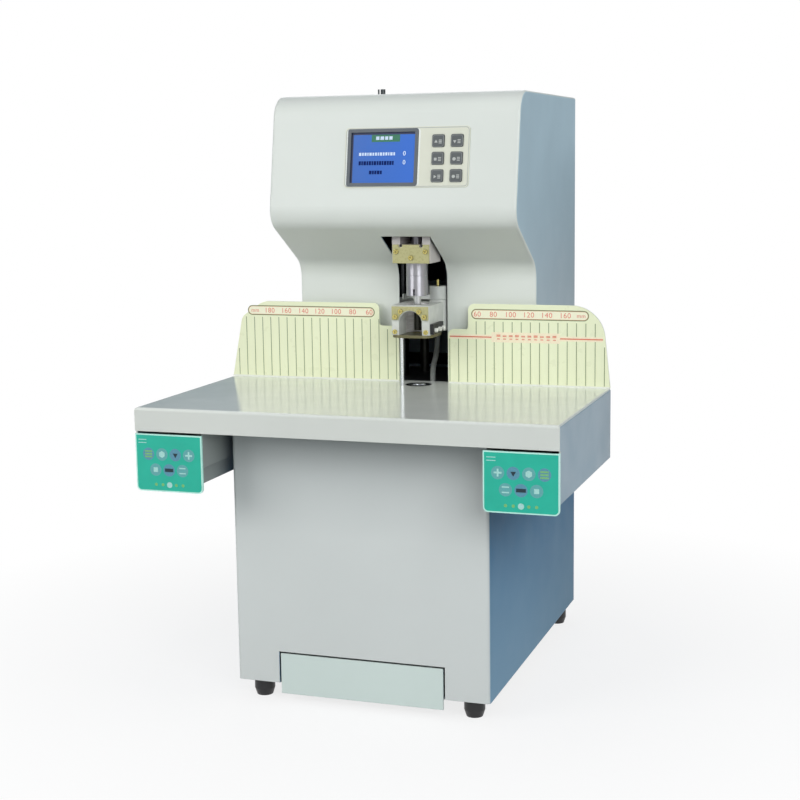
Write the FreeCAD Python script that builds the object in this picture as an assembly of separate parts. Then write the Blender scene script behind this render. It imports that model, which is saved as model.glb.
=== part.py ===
import FreeCAD, Part
import math
import os

# Desk machine that drills and rivets documents. Millimetres, +Z up, front towards -Y.
# The origin is at floor level, in the middle of the machine's width and depth.

# Envelope: the table reaches forwards from the punch, and the rest follows the works inside
overall_width = 440.0
table_reach = 220.0
table_height = 315.0
foot_height = 20.0
cabinet_width = 275.0
cabinet_setback = 52.0
column_inset = 0.5
gauge_face_y = 17.0
column_front_y = 27.3

# Sheet metal and general clearances
sheet = 1.5
fold_radius = 3.0
corner_radius = 4.0
overrun = 5.0
gap = 0.3
running_gap = 0.05
slide_gap = 0.2
bend_share = 0.45
slot_end_share = 0.45
parallel_share = 0.999
least_radius_share = 0.1

# Head outline, from the side
nose_y = -59.5
nose_rise = 25.5
brow_y = -36.0
face_height = 133.5
soffit_drop = 51.5
nose_radius = 24.0
brow_radius = 26.0
throat_radius = 25.0
rear_flange = 6.0
tube_stand = 7.0

# Throat opening in the front cover
opening_left = 30.3
opening_right = 25.5
opening_top_y = -32.0
opening_rise = 5.5

# Punch axis and the carriages that ride on the two guide columns
punch_x = 11.0
punch_y = 0.0
columns_apart = 90.0
guide_column_y = 80.0
guide_column_radius = 7.0
press_rest_gap = 4.0
press_travel = 50.0
drill_rest_gap = 7.0
drill_travel = 38.0
block_height = 32.0
bracket_floor_height = 20.0
bracket_height = 63.0
foot_plate_thickness = 3.0

# Table sheet
front_skirt = 24.0
side_skirt = 75.0
gauge_thickness = 3.0

# Frame plates inside
base_thickness = 2.0
bed_thickness = 10.0
bed_front_y = -60.0
bed_rear_y = 150.0
frame_plate = 6.0
frame_inner_x = 88.0
frame_lead = 30.0
frame_rear_inset = 20.0
frame_top_drop = 33.0
head_plate = 8.0

# Screws that raise and lower the carriages, with their motors
press_screw_x = -19.0
press_screw_setback = 35.0
press_screw_y = guide_column_y + press_screw_setback
press_screw_radius = 5.0
press_motor_size = 50.0
press_motor_height = 45.0
drill_screw_x = 41.0
drill_screw_setback = 38.0
drill_screw_y = guide_column_y + drill_screw_setback
drill_screw_radius = 4.0
drill_screw_rise = 48.0
drill_motor_size = 42.0
drill_motor_height = 34.0
screw_grip = 9.0
screw_clear = 3.0

# Motor that turns the drill
drill_motor_setback = 47.0
drill_motor_y = drill_screw_y + drill_motor_setback
drill_motor_radius = 22.0
drill_motor_length = 70.0
drill_motor_rear_gap = 33.0

# Derived places, level by level from the table up through the carriages to the head's top
half_width = overall_width / 2
front_y = -table_reach
rear_y = drill_motor_y + drill_motor_radius + drill_motor_rear_gap
cabinet_front_y = front_y + cabinet_setback
table_underside = table_height - sheet
bed_underside = table_underside - bed_thickness
block_base_z = table_height + press_rest_gap + press_travel + foot_plate_thickness
block_top_z = block_base_z + block_height
bracket_base_z = block_top_z + drill_rest_gap + drill_travel
bracket_floor_z = bracket_base_z + bracket_floor_height
bracket_top_z = bracket_base_z + bracket_height
nose_z = bracket_floor_z + nose_rise
soffit_end_z = nose_z - soffit_drop
head_height = nose_z + face_height
overall_height = head_height + tube_stand
frame_top_z = head_height - frame_top_drop
frame_front_y = guide_column_y - frame_lead
frame_rear_y = rear_y - frame_rear_inset
cabinet_half = cabinet_width / 2
column_half = cabinet_half - column_inset
base_top = foot_height + base_thickness
gauge_rear_y = gauge_face_y + gauge_thickness
opening_left_x = punch_x - opening_left
opening_right_x = punch_x + opening_right
opening_top_z = nose_z + opening_rise
face_angle = math.atan((brow_y - nose_y) / face_height)

# Rubber feet
foot_radius = 10.8
foot_tip_radius = 8.5
foot_tip_height = 7.0
foot_front_side_inset = 21.5
foot_rear_side_inset = 13.5
foot_front_x = cabinet_half - foot_front_side_inset
foot_rear_x = cabinet_half - foot_rear_side_inset
foot_front_inset = 19.0
foot_front_y = cabinet_front_y + foot_front_inset
foot_rear_inset = 36.0
foot_rear_y = rear_y - foot_rear_inset

# Drawers at the table's ends
drawer_cabinet_gap = 8.5
drawer_width = half_width - cabinet_half - drawer_cabinet_gap
drawer_front_height = 59.0
drawer_front_gap = 2.5
drawer_front_thickness = 2.5
drawer_front_radius = 5.0
drawer_wall = 1.2
drawer_length = 190.0
drawer_top_z = table_height - front_skirt - drawer_front_gap
tray_side_inset = 6.0
tray_half = drawer_width / 2 - tray_side_inset
tray_drop = 7.5
tray_rim_z = drawer_top_z - tray_drop
tray_height = 43.5
tray_base_z = tray_rim_z - tray_height
runner_thickness = 1.2
runner_standoff = 3.3
runner_half = tray_half + runner_standoff
runner_rise = 17.3
runner_z = tray_base_z + runner_rise
runner_lip = 20.0
runner_front_inset = 6.0

# Scrap drawer under the cabinet's front
scrap_width = 177.0
scrap_front_base_z = 9.0
scrap_front_top_z = 52.0
scrap_front_thickness = 2.0
scrap_gap = 2.0
scrap_half = 82.0
scrap_lip = 4.4
scrap_base_z = 11.0
scrap_rim_z = 45.0
scrap_length = 196.0

# Control panel on the head's face, measured from its middle up the slope
panel_z = nose_z + face_height / 2
panel_left_x = -52.0
panel_right_x = 85.0
panel_half_height = 31.7
panel_thickness = 0.8
panel_radius = 4.0
screen_left_x = -49.0
screen_right_x = 29.0
screen_half_height = 30.1
screen_rise = 1.6
screen_depth = 9.0
screen_radius = 2.0
screen_border = 3.5
screen_recess = 2.0
screen_body_inset = 3.0
key_size = 13.0
key_radius = 2.0
key_rise = 2.0
key_depth = 7.0
key_travel = 0.8
key_column_x = (51.0, 71.3)
keys_apart = 18.2
key_middle = -1.6
switch_size = 8.0
board_thickness = 1.6
standoff_radius = 2.0
standoff_inset = 3.5

# Press carriage, at its raised rest
block_half = 21.5
block_front_y = -26.0
block_rear_y = 24.0
block_bore_radius = 13.0
window_spring_z = block_base_z + block_bore_radius
neck_left_x = -6.0
neck_right_x = 30.0
neck_lift = 4.0
neck_base_z = block_base_z + neck_lift
cross_margin = 16.0
cross_half = columns_apart / 2 + cross_margin
cross_lead = 15.0
cross_front_y = guide_column_y - cross_lead
cross_tail = 60.0
cross_rear_y = guide_column_y + cross_tail
cross_lift = 8.0
cross_base_z = block_base_z + cross_lift
foot_plate_overlap = 1.5
foot_plate_rear_y = 12.0
foot_plate_radius = 12.0
foot_plate_hole = 6.0
brass_thickness = 2.0
brass_inset = 1.0
press_brass_lift = 16.5
press_brass_base_z = block_base_z + press_brass_lift
press_brass_top_z = block_top_z - brass_inset
press_brass_arch = 14.0
rod_x = -5.0
rod_y = -8.0
rod_radius = 1.8
rod_drop = 35.0
rod_base_z = table_height - rod_drop
rod_grip = 8.0
terminal_depth = 4.0
terminal_front_y = -24.0
terminal_rear_y = 12.0
terminal_lift = 1.0
terminal_base_z = block_base_z + terminal_lift
terminal_height = 11.0
terminal_top_z = terminal_base_z + terminal_height
plug_radius = 2.3
plug_length = 3.0
plugs_apart = 13.0
plug_rise = 4.5
plug_z = terminal_base_z + plug_rise

# Cable from the press block down to the bed plate, hand-placed points on its route
cable_radius = 3.0
cable_route = (
    (27.0, 19.0, 372.0),
    (27.0, 19.0, 357.0),
    (23.5, 24.0, 343.0),
    (17.5, 31.0, 329.5),
    (17.5, 31.0, 313.5),
)

# Feed arm that brings the rivet tube to the punch axis
arm_pivot_x = 25.0
arm_pivot_y = 30.0
arm_pivot_gap = 0.3
arm_rest_gap = 2.5
arm_base_z = block_top_z + arm_rest_gap
arm_thickness = 5.0
arm_half = 6.0
arm_tip_radius = 8.0
arm_slot_half = 5.5
boss_radius = 9.5
hub_height = 14.5
hub_top_z = arm_base_z + hub_height
pivot_radius = 3.0
pivot_cap_radius = 1.5
pivot_cap_height = 7.0
pivot_top_z = hub_top_z + pivot_cap_height

# Drill carriage, at its raised rest
bracket_front_y = -20.0
bracket_rear_y = 16.0
arm_wall = 9.0
cheek_lift = 1.0
cheek_raised_z = bracket_floor_z + cheek_lift
drill_cross_height = 24.0
drill_cross_base_z = bracket_top_z - drill_cross_height
motor_plate_reach = 27.0
motor_plate_rear_y = drill_motor_y + motor_plate_reach
motor_plate_half = 31.0
motor_plate_thickness = 8.0
drill_brass_notch = 2.2
drill_brass_notch_share = 0.27
spindle_radius = 12.0
spindle_rest_gap = 9.0
spindle_base_z = block_top_z + spindle_rest_gap
spindle_shaft_radius = 6.0
spindle_bore = 2.6
spindle_groove_rise = 21.5
spindle_groove_z = spindle_base_z + spindle_groove_rise
spindle_groove = 0.6
spindle_slot_width = 2.4
spindle_slot_height = 7.5
bit_radius = 4.0
bit_rest_lift = 3.0
bit_base_z = block_base_z + bit_rest_lift
bit_grip = 14.0
pulley_lift = 4.0
pulley_base_z = bracket_top_z + pulley_lift
pulley_height = 14.0
pulley_flange = 1.5
pulley_lip = 2.0
spindle_pulley_radius = 15.0
motor_pulley_radius = 10.0
belt_thickness = 1.6
motor_shaft_radius = 4.0
motor_cap_height = 9.0
motor_cap_gap = 1.0
drill_screw_top_z = bracket_top_z + drill_screw_rise

# Fasteners
screw_head_radius = 2.6
screw_head_height = 1.6
screw_shank_radius = 1.4
screw_shank_length = 6.0
socket_radius = 1.2
socket_depth = 0.9
press_screw_upper_drop = 6.5
press_screw_upper_z = block_top_z - press_screw_upper_drop
press_screw_middle_rise = 20.0
press_screw_middle_z = block_base_z + press_screw_middle_rise
press_screw_lower_rise = 3.5
press_screw_lower_z = block_base_z + press_screw_lower_rise
press_screw_inner_x = 10.5
press_screw_outer_x = 16.5
press_screw_edge_x = 17.5
drill_screw_side_x = 16.5
drill_screw_side_rise = 12.5
drill_screw_side_z = bracket_base_z + drill_screw_side_rise
drill_screw_low_rise = 6.0
drill_screw_low_z = bracket_base_z + drill_screw_low_rise

# Die in the table and the anvil under it
die_radius = 14.5
die_bore = 9.0
die_depth = 6.5
die_chamfer = 1.0
pad_bore = 3.0
pad_sink = 0.4
bed_bore = 7.0
anvil_length = 50.0
anvil_sink = 2.0
anvil_flange_radius = 5.5
anvil_flange_height = 4.0
anvil_travel = 4.0
actuator_radius = 16.0
actuator_height = 46.0
actuator_chamber_radius = 6.0
actuator_chamber_height = 30.0

# Rivet tube inlet
tube_radius = 2.6
tube_bore = 1.8
tube_inlet_x = -34.0
tube_inlet_y = 25.0
tube_outlet_x = -8.0
tube_outlet_y = 30.0
tube_straight = 60.0
tube_route = (
    (tube_inlet_x, tube_inlet_y, overall_height),
    (tube_inlet_x, tube_inlet_y, overall_height - tube_straight),
    (tube_outlet_x, tube_outlet_y, cheek_raised_z),
    (tube_outlet_x, tube_outlet_y, spindle_base_z),
)
stop_pin_radius = 0.9
stop_pin_offset = 5.0
stop_pin_length = 39.0

# Rear panel, mains inlet, switch and power supply
vent_width = 60.0
vent_height = 4.0
vents_apart = 12.0
vent_count = 6
vent_base_z = 120.0
head_vent_rise = 105.0
head_vent_base_z = table_height + head_vent_rise
inlet_x = -60.0
inlet_z = 70.0
inlet_width = 30.0
inlet_height = 24.0
inlet_depth = 26.0
inlet_flange = 4.0
socket_width = 22.0
socket_height = 15.0
socket_well = 16.0
rocker_x = -24.0
rocker_radius = 9.5
rocker_width = 12.0
rocker_rise = 0.9
rocker_back = 4.0
rocker_pivot_depth = 6.5
supply_width = 90.0
supply_depth = 90.0
supply_height = 44.0
supply_x = -75.0
supply_inlet_gap = 6.0
supply_y = rear_y - inlet_depth - supply_depth - supply_inlet_gap

# Gauge plates: steps beside the throat, then the outer shoulders as shares of the half width
left_gauge_step_rise = 62.0
left_gauge_step_z = table_height + left_gauge_step_rise
right_gauge_step_rise = 60.0
right_gauge_step_z = table_height + right_gauge_step_rise
left_gauge_height = 87.0
left_gauge_top_z = table_height + left_gauge_height
left_gauge_flare_height = 69.0
left_gauge_flare_z = table_height + left_gauge_flare_height
left_inner_x = -17.0
left_step_x = -40.0
left_flare_share = 0.94
left_shoulder_share = 0.8182
right_gauge_height = 88.0
right_gauge_top_z = table_height + right_gauge_height
right_inner_x = 40.0
right_step_x = 63.0
right_shoulder_share = 0.957
left_flare_radius = 12.0
left_shoulder_radius = 22.0
left_cap_radius = 6.0
left_step_radius = 4.0
left_heel_radius = 1.0
right_heel_radius = 7.0
right_step_radius = 3.0
right_cap_radius = 7.0
right_shoulder_radius = 37.0
left_gauge = (
    (-half_width, table_height, 0),
    (-half_width * left_flare_share, left_gauge_flare_z, left_flare_radius),
    (-half_width * left_shoulder_share, left_gauge_top_z, left_shoulder_radius),
    (left_step_x, left_gauge_top_z, left_cap_radius),
    (left_step_x, left_gauge_step_z, left_step_radius),
    (left_inner_x, left_gauge_step_z, left_heel_radius),
    (left_inner_x, table_height, 0),
)
right_gauge = (
    (right_inner_x, table_height, 0),
    (right_inner_x, right_gauge_step_z, right_heel_radius),
    (right_step_x, right_gauge_step_z, right_step_radius),
    (right_step_x, right_gauge_top_z, right_cap_radius),
    (half_width * right_shoulder_share, right_gauge_top_z, right_shoulder_radius),
    (half_width, table_height, 0),
)
gauge_flange = 2.0
gauge_flange_inset = 8.0

X_AXIS = FreeCAD.Vector(1, 0, 0)
Y_AXIS = FreeCAD.Vector(0, 1, 0)
Z_AXIS = FreeCAD.Vector(0, 0, 1)


def box(x0, x1, y0, y1, z0, z1):
    """A box between two corners."""
    corner = FreeCAD.Vector(x0, y0, z0)
    return Part.makeBox(x1 - x0, y1 - y0, z1 - z0, corner)


def post(radius, x, y, z0, z1):
    """An upright cylinder."""
    return Part.makeCylinder(radius, z1 - z0, FreeCAD.Vector(x, y, z0), Z_AXIS)


def ring(outer, inner, x, y, z0, z1):
    """An upright tube."""
    hole = post(inner, x, y, z0 - overrun, z1 + overrun)
    return post(outer, x, y, z0, z1).cut(hole)


def across(radius, x0, x1, y, z):
    """A cylinder that lies along X."""
    return Part.makeCylinder(radius, x1 - x0, FreeCAD.Vector(x0, y, z), X_AXIS)


def along(radius, x, y0, y1, z):
    """A cylinder that lies along Y."""
    return Part.makeCylinder(radius, y1 - y0, FreeCAD.Vector(x, y0, z), Y_AXIS)


def round_edges(shape, radius, wanted):
    """Round the edges of a shape that the test picks."""
    edges = [edge for edge in shape.Edges if wanted(edge)]
    return shape.makeFillet(radius, edges)


def is_along(edge, axis):
    """True for a straight edge that runs along an axis."""
    if len(edge.Vertexes) < 2:
        return False
    run = edge.Vertexes[1].Point.sub(edge.Vertexes[0].Point)
    return run.Length > 0 and abs(run.normalize().dot(axis)) > parallel_share


def rounded_box(x0, x1, y0, y1, z0, z1, radius):
    """A box whose four upright edges are rounded."""
    return round_edges(box(x0, x1, y0, y1, z0, z1), radius, lambda edge: is_along(edge, Z_AXIS))


def corner_arc(before, corner, after, radius):
    """Start, middle and end of the arc that rounds a corner."""
    back = (before - corner).normalize()
    ahead = (after - corner).normalize()
    half = back.getAngle(ahead) / 2
    reach = radius / math.tan(half)
    bisector = (back + ahead).normalize()
    centre = corner + bisector * (radius / math.sin(half))
    return corner + back * reach, centre - bisector * radius, corner + ahead * reach


def rounded_wire(corners):
    """A closed wire through corners given as a point and a radius."""
    edges = []
    starts = []
    ends = []
    count = len(corners)
    for index, (point, radius) in enumerate(corners):
        if radius > 0:
            before = corners[index - 1][0]
            after = corners[(index + 1) % count][0]
            first, middle, last = corner_arc(before, point, after, radius)
            edges.append((index, Part.Arc(first, middle, last).toShape()))
        else:
            first = point
            last = point
        starts.append(first)
        ends.append(last)
    arcs = dict(edges)
    path = []
    for index in range(count):
        if index in arcs:
            path.append(arcs[index])
        path.append(Part.LineSegment(ends[index], starts[(index + 1) % count]).toShape())
    return Part.Wire(path)


def side_prism(outline, x0, x1):
    """A solid from an outline of (y, z, radius) corners, pulled along X."""
    corners = [(FreeCAD.Vector(x0, y, z), radius) for y, z, radius in outline]
    face = Part.Face(rounded_wire(corners))
    return face.extrude(FreeCAD.Vector(x1 - x0, 0, 0))


def front_prism(outline, y0, y1):
    """A solid from an outline of (x, z, radius) corners, pulled along Y."""
    corners = [(FreeCAD.Vector(x, y0, z), radius) for x, z, radius in outline]
    face = Part.Face(rounded_wire(corners))
    return face.extrude(FreeCAD.Vector(0, y1 - y0, 0))


def inset(outline, depth, turning):
    """Move an outline of (u, v, radius) corners inwards by a wall's depth."""
    count = len(outline)
    moved = []
    for index in range(count):
        u0, v0, _ = outline[index - 1]
        u1, v1, radius = outline[index]
        u2, v2, _ = outline[(index + 1) % count]
        first = math.atan2(v1 - v0, u1 - u0)
        second = math.atan2(v2 - v1, u2 - u1)
        turn = math.remainder(second - first, 2 * math.pi)
        middle = first + turn / 2 + turning * math.pi / 2
        reach = depth / math.cos(turn / 2)
        inner_radius = radius
        if radius > 0:
            inner_radius = max(
                radius - depth * turning * math.copysign(1, turn), radius * least_radius_share
            )
        moved.append((u1 + reach * math.cos(middle), v1 + reach * math.sin(middle), inner_radius))
    return moved


def piped(route, radius):
    """A round bar along straight runs joined by tangent arcs, with its arcs' radii."""
    points = [FreeCAD.Vector(*point) for point in route]
    path = []
    radii = []
    last_end = points[0]
    for before, corner, after in zip(points, points[1:], points[2:]):
        shorter = min((corner - before).Length, (after - corner).Length)
        turn = math.pi - (before - corner).getAngle(after - corner)
        bend = bend_share * shorter / math.tan(turn / 2)
        first, middle, last = corner_arc(before, corner, after, bend)
        path.append(Part.LineSegment(last_end, first).toShape())
        path.append(Part.Arc(first, middle, last).toShape())
        radii.append(round(bend, 1))
        last_end = last
    path.append(Part.LineSegment(last_end, points[-1]).toShape())
    wire = Part.Wire(path)
    circle = Part.Circle(points[0], points[1] - points[0], radius)
    pipe = wire.makePipeShell([Part.Wire(circle.toShape())], True, False)
    return pipe, radii, wire.Length


def on_face(shape):
    """Lay a shape made flat, with its face up, on the head's sloping face."""
    slope = FreeCAD.Rotation(X_AXIS, 90 - math.degrees(face_angle))
    middle_y = nose_y + (panel_z - nose_z) * math.tan(face_angle)
    placed = shape.copy()
    placed.Placement = FreeCAD.Placement(FreeCAD.Vector(0, middle_y, panel_z), slope)
    return placed


def key_places():
    """Middle of each key on the panel, row by row from the top left."""
    places = []
    for row in (1, 0, -1):
        for column_x in key_column_x:
            places.append((column_x, key_middle + row * keys_apart))
    return places


def key_prism(x, v, half, low, high):
    """A rounded square key or key hole, made flat."""
    return rounded_box(x - half, x + half, v - half, v + half, low, high, key_radius)


def save(name, *solids):
    """Write one node, as one solid or as a group of separate solids."""
    shape = solids[0] if len(solids) == 1 else Part.makeCompound(list(solids))
    shape.exportStep("parts/" + name + ".step")


def head_outline():
    """Side outline of the head and column, from the column's foot forwards."""
    return (
        (column_front_y, table_underside, 0),
        (column_front_y, soffit_end_z, throat_radius),
        (nose_y, nose_z, nose_radius),
        (brow_y, head_height, brow_radius),
        (rear_y, head_height, fold_radius),
        (rear_y, table_underside, 0),
    )


def head_core():
    """The space inside the head's sheet, open at the foot."""
    outline = inset(head_outline(), sheet, -1)
    foot_front, foot_rear = outline[0], outline[-1]
    low = table_underside - overrun
    opened = [(foot_front[0], low, 0)] + outline[1:-1] + [(foot_rear[0], low, 0)]
    return opened


def make_front_cover():
    """Folded sheet over the column's front, the head's underside, face and top."""
    seam = column_half - fold_radius
    shell = side_prism(head_outline(), -seam, seam)
    shell = shell.cut(side_prism(head_core(), -seam - overrun, seam + overrun))
    window_top = head_height - sheet - rear_flange
    low = table_underside - overrun
    window = box(-half_width, half_width, rear_y - overrun, rear_y + overrun, low, window_top)
    throat_rear = column_front_y + throat_radius
    throat = box(opening_left_x, opening_right_x, opening_top_y, throat_rear, low, opening_top_z)
    screen = box(
        screen_left_x + screen_body_inset - slide_gap,
        screen_right_x - screen_body_inset + slide_gap,
        -screen_half_height + screen_body_inset - slide_gap,
        screen_half_height - screen_body_inset + slide_gap,
        -overrun,
        overrun,
    )
    holes = [window, throat, on_face(screen)]
    for x, v in key_places():
        holes.append(on_face(key_prism(x, v, key_size / 2 + gap, -overrun, overrun)))
    holes.append(post(tube_radius + gap, tube_inlet_x, tube_inlet_y, frame_top_z, overall_height))
    pin_x = tube_inlet_x - stop_pin_offset
    holes.append(post(stop_pin_radius + gap, pin_x, tube_inlet_y, frame_top_z, overall_height))
    save("front_cover", shell.cut(holes))


def make_side_covers():
    """Left and right pans of the head, with their outer edges folded round."""
    seam = column_half - fold_radius
    for name, side in (("right_side_cover", 1), ("left_side_cover", -1)):
        outer = side_prism(head_outline(), seam, column_half)
        rim = [
            edge
            for edge in outer.Edges
            if min(vertex.X for vertex in edge.Vertexes) > column_half - gap
            and max(vertex.Z for vertex in edge.Vertexes) > table_height
        ]
        pan = outer.makeFillet(fold_radius - gap, rim)
        pan = pan.cut(side_prism(head_core(), seam - overrun, column_half - sheet))
        low = table_underside - overrun
        window_top = head_height - sheet - rear_flange
        window = box(0, column_half - rear_flange, rear_y - overrun, rear_y + overrun, low, window_top)
        pan = pan.cut(window)
        if side < 0:
            pan = pan.mirror(FreeCAD.Vector(0, 0, 0), X_AXIS)
        save(name, pan)


def vent_slots(x_middle, base_z, y0, y1):
    """A stack of level vent slots."""
    slots = []
    for index in range(vent_count):
        z = base_z + index * vents_apart
        low_x = x_middle - vent_width / 2
        high_x = x_middle + vent_width / 2
        slot = box(low_x, high_x, y0, y1, z, z + vent_height)
        slot = round_edges(slot, vent_height * slot_end_share, lambda edge: is_along(edge, Y_AXIS))
        slots.append(slot)
    return slots


def make_rear_covers():
    """Plates inside the rear flanges of the head and of the cabinet."""
    inner_face = rear_y - sheet
    half = column_half - sheet - slide_gap
    top = head_height - sheet - slide_gap - fold_radius
    head = box(-half, half, inner_face - sheet, inner_face, table_height, top)
    for x in (-vent_width, vent_width):
        head = head.cut(vent_slots(x, head_vent_base_z, inner_face - overrun, rear_y))
    save("head_rear_cover", head)
    half = cabinet_half - corner_radius
    cover = box(-half, half, inner_face - sheet, inner_face, base_top, table_underside - slide_gap)
    cover = cover.cut(vent_slots(vent_width, vent_base_z, inner_face - overrun, rear_y))
    inlet_hole = box(
        inlet_x - inlet_width / 2,
        inlet_x + inlet_width / 2,
        inner_face - overrun,
        rear_y,
        inlet_z - inlet_height / 2,
        inlet_z + inlet_height / 2,
    )
    rocker_half = rocker_width / 2 + gap
    reach = rocker_radius + gap
    rocker_hole = box(
        rocker_x - rocker_half,
        rocker_x + rocker_half,
        inner_face - overrun,
        rear_y,
        inlet_z - reach,
        inlet_z + reach,
    )
    save("cabinet_rear_cover", cover.cut([inlet_hole, rocker_hole]))


def make_cabinet():
    """Cabinet sheet with folded corners, open at the rear and at the scrap drawer."""
    outer = box(-cabinet_half, cabinet_half, cabinet_front_y, rear_y, foot_height, table_underside)
    outer = round_edges(outer, corner_radius, lambda edge: is_along(edge, Z_AXIS))
    inner_half = cabinet_half - sheet
    inner = box(
        -inner_half,
        inner_half,
        cabinet_front_y + sheet,
        rear_y - sheet,
        foot_height - overrun,
        table_height,
    )
    inner = round_edges(inner, corner_radius - sheet, lambda edge: is_along(edge, Z_AXIS))
    window_half = inner_half - rear_flange
    window = box(
        -window_half,
        window_half,
        rear_y - overrun,
        rear_y + overrun,
        foot_height - overrun,
        table_height,
    )
    notch_half = scrap_width / 2 + scrap_gap
    notch = box(
        -notch_half,
        notch_half,
        cabinet_front_y - overrun,
        cabinet_front_y + overrun,
        foot_height - overrun,
        scrap_front_top_z + scrap_gap,
    )
    save("cabinet_shell", outer.cut([inner, window, notch]))


def make_base():
    """Floor plate with the slot that the scrap tray hangs in, and four rubber feet."""
    half = cabinet_half - sheet
    plate_front = cabinet_front_y + scrap_front_thickness + slide_gap
    plate = box(-half, half, plate_front, rear_y - sheet, foot_height, base_top)
    upright = corner_radius - sheet
    plate = round_edges(plate, upright, lambda edge: is_along(edge, Z_AXIS))
    slot_half = scrap_half + slide_gap
    slot_rear = cabinet_front_y + scrap_length + scrap_front_thickness + slide_gap
    slot = box(
        -slot_half,
        slot_half,
        cabinet_front_y - overrun,
        slot_rear,
        foot_height - overrun,
        base_top + overrun,
    )
    save("base_plate", plate.cut(slot))
    feet = []
    for foot_x, y in ((foot_front_x, foot_front_y), (foot_rear_x, foot_rear_y)):
        for x in (-foot_x, foot_x):
            tip = Part.makeCone(
                foot_tip_radius, foot_radius, foot_tip_height, FreeCAD.Vector(x, y, 0), Z_AXIS
            )
            feet.append(tip.fuse(post(foot_radius, x, y, foot_tip_height, foot_height)).removeSplitter())
    save("rubber_feet", *feet)


def make_frame():
    """Side plates, bed, head plate and guide columns that carry the carriages."""
    plates = []
    for side in (-1, 1):
        faces = sorted((side * frame_inner_x, side * (frame_inner_x + frame_plate)))
        plates.append(box(*faces, frame_front_y, frame_rear_y, base_top, frame_top_z))
    save("frame_side_plates", *plates)

    bed = box(
        -frame_inner_x, frame_inner_x, bed_front_y, bed_rear_y, bed_underside, table_underside
    )
    low = bed_underside - overrun
    high = table_height
    holes = [
        post(die_radius, punch_x, punch_y, table_height - die_depth, high),
        post(bed_bore, punch_x, punch_y, low, high),
        post(rod_radius + running_gap, rod_x, rod_y, low, high),
        post(press_screw_radius + gap, press_screw_x, press_screw_y, low, high),
    ]
    top = box(
        -frame_inner_x - frame_plate,
        frame_inner_x + frame_plate,
        frame_front_y,
        frame_rear_y,
        frame_top_z,
        frame_top_z + head_plate,
    )
    top_holes = [
        post(
            press_screw_radius + running_gap,
            press_screw_x,
            press_screw_y,
            frame_top_z - overrun,
            head_height,
        )
    ]
    columns = []
    for side in (-1, 1):
        x = punch_x + side * columns_apart / 2
        column = post(
            guide_column_radius, x, guide_column_y, bed_underside, frame_top_z + head_plate
        )
        columns.append(column)
        holes.append(column)
        top_holes.append(column)
    save("bed_plate", bed.cut(holes))
    save("head_top_plate", top.cut(top_holes))
    save("guide_columns", *columns)


def make_table():
    """Folded table sheet: top, front skirt, deep side skirts and rear skirts."""
    skirt_z = table_height - side_skirt
    outer = box(-half_width, half_width, front_y, gauge_rear_y, skirt_z, table_height)
    rounded = [
        edge
        for edge in outer.Edges
        if (is_along(edge, X_AXIS) or is_along(edge, Y_AXIS))
        and edge.CenterOfMass.z > table_height - gap
        and edge.CenterOfMass.y < gauge_face_y
    ]
    outer = outer.makeFillet(fold_radius, rounded)
    inner = box(
        -half_width + sheet,
        half_width - sheet,
        front_y + sheet,
        gauge_rear_y - sheet,
        skirt_z - overrun,
        table_underside,
    )
    inner_edges = [
        edge
        for edge in inner.Edges
        if (is_along(edge, X_AXIS) or is_along(edge, Y_AXIS))
        and edge.CenterOfMass.z > table_underside - gap
        and edge.CenterOfMass.y < gauge_face_y - sheet
    ]
    inner = inner.makeFillet(fold_radius - sheet, inner_edges)
    tongue = box(-column_half, column_half, gauge_face_y, column_front_y, table_underside, table_height)
    under_front = box(
        -half_width - overrun,
        half_width + overrun,
        front_y - overrun,
        front_y + drawer_front_thickness + slide_gap,
        skirt_z - overrun,
        table_height - front_skirt,
    )
    rear_gap = box(
        -cabinet_half,
        cabinet_half,
        gauge_face_y,
        gauge_rear_y + overrun,
        skirt_z - overrun,
        table_underside,
    )
    low = table_underside - overrun
    high = table_height + overrun
    holes = [
        post(die_radius + slide_gap, punch_x, punch_y, low, high),
        post(rod_radius + gap, rod_x, rod_y, low, high),
    ]
    sheet_part = outer.cut([inner, under_front, rear_gap]).fuse(tongue).removeSplitter()
    save("table_top", sheet_part.cut(holes))


def make_gauges():
    """Two upright gauge plates on the table's rear edge, each with a foot flange."""
    for name, outline, side in (
        ("left_gauge_plate", left_gauge, -1),
        ("right_gauge_plate", right_gauge, 1),
    ):
        plate = front_prism(outline, gauge_face_y, gauge_rear_y)
        inner_x = outline[-1][0] if side < 0 else outline[0][0]
        ends = sorted((inner_x + side * gauge_flange_inset, side * (column_half - gauge_flange_inset)))
        flange = box(
            ends[0], ends[1], gauge_face_y, column_front_y, table_height, table_height + gauge_flange
        )
        save(name, plate.fuse(flange).removeSplitter())


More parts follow.
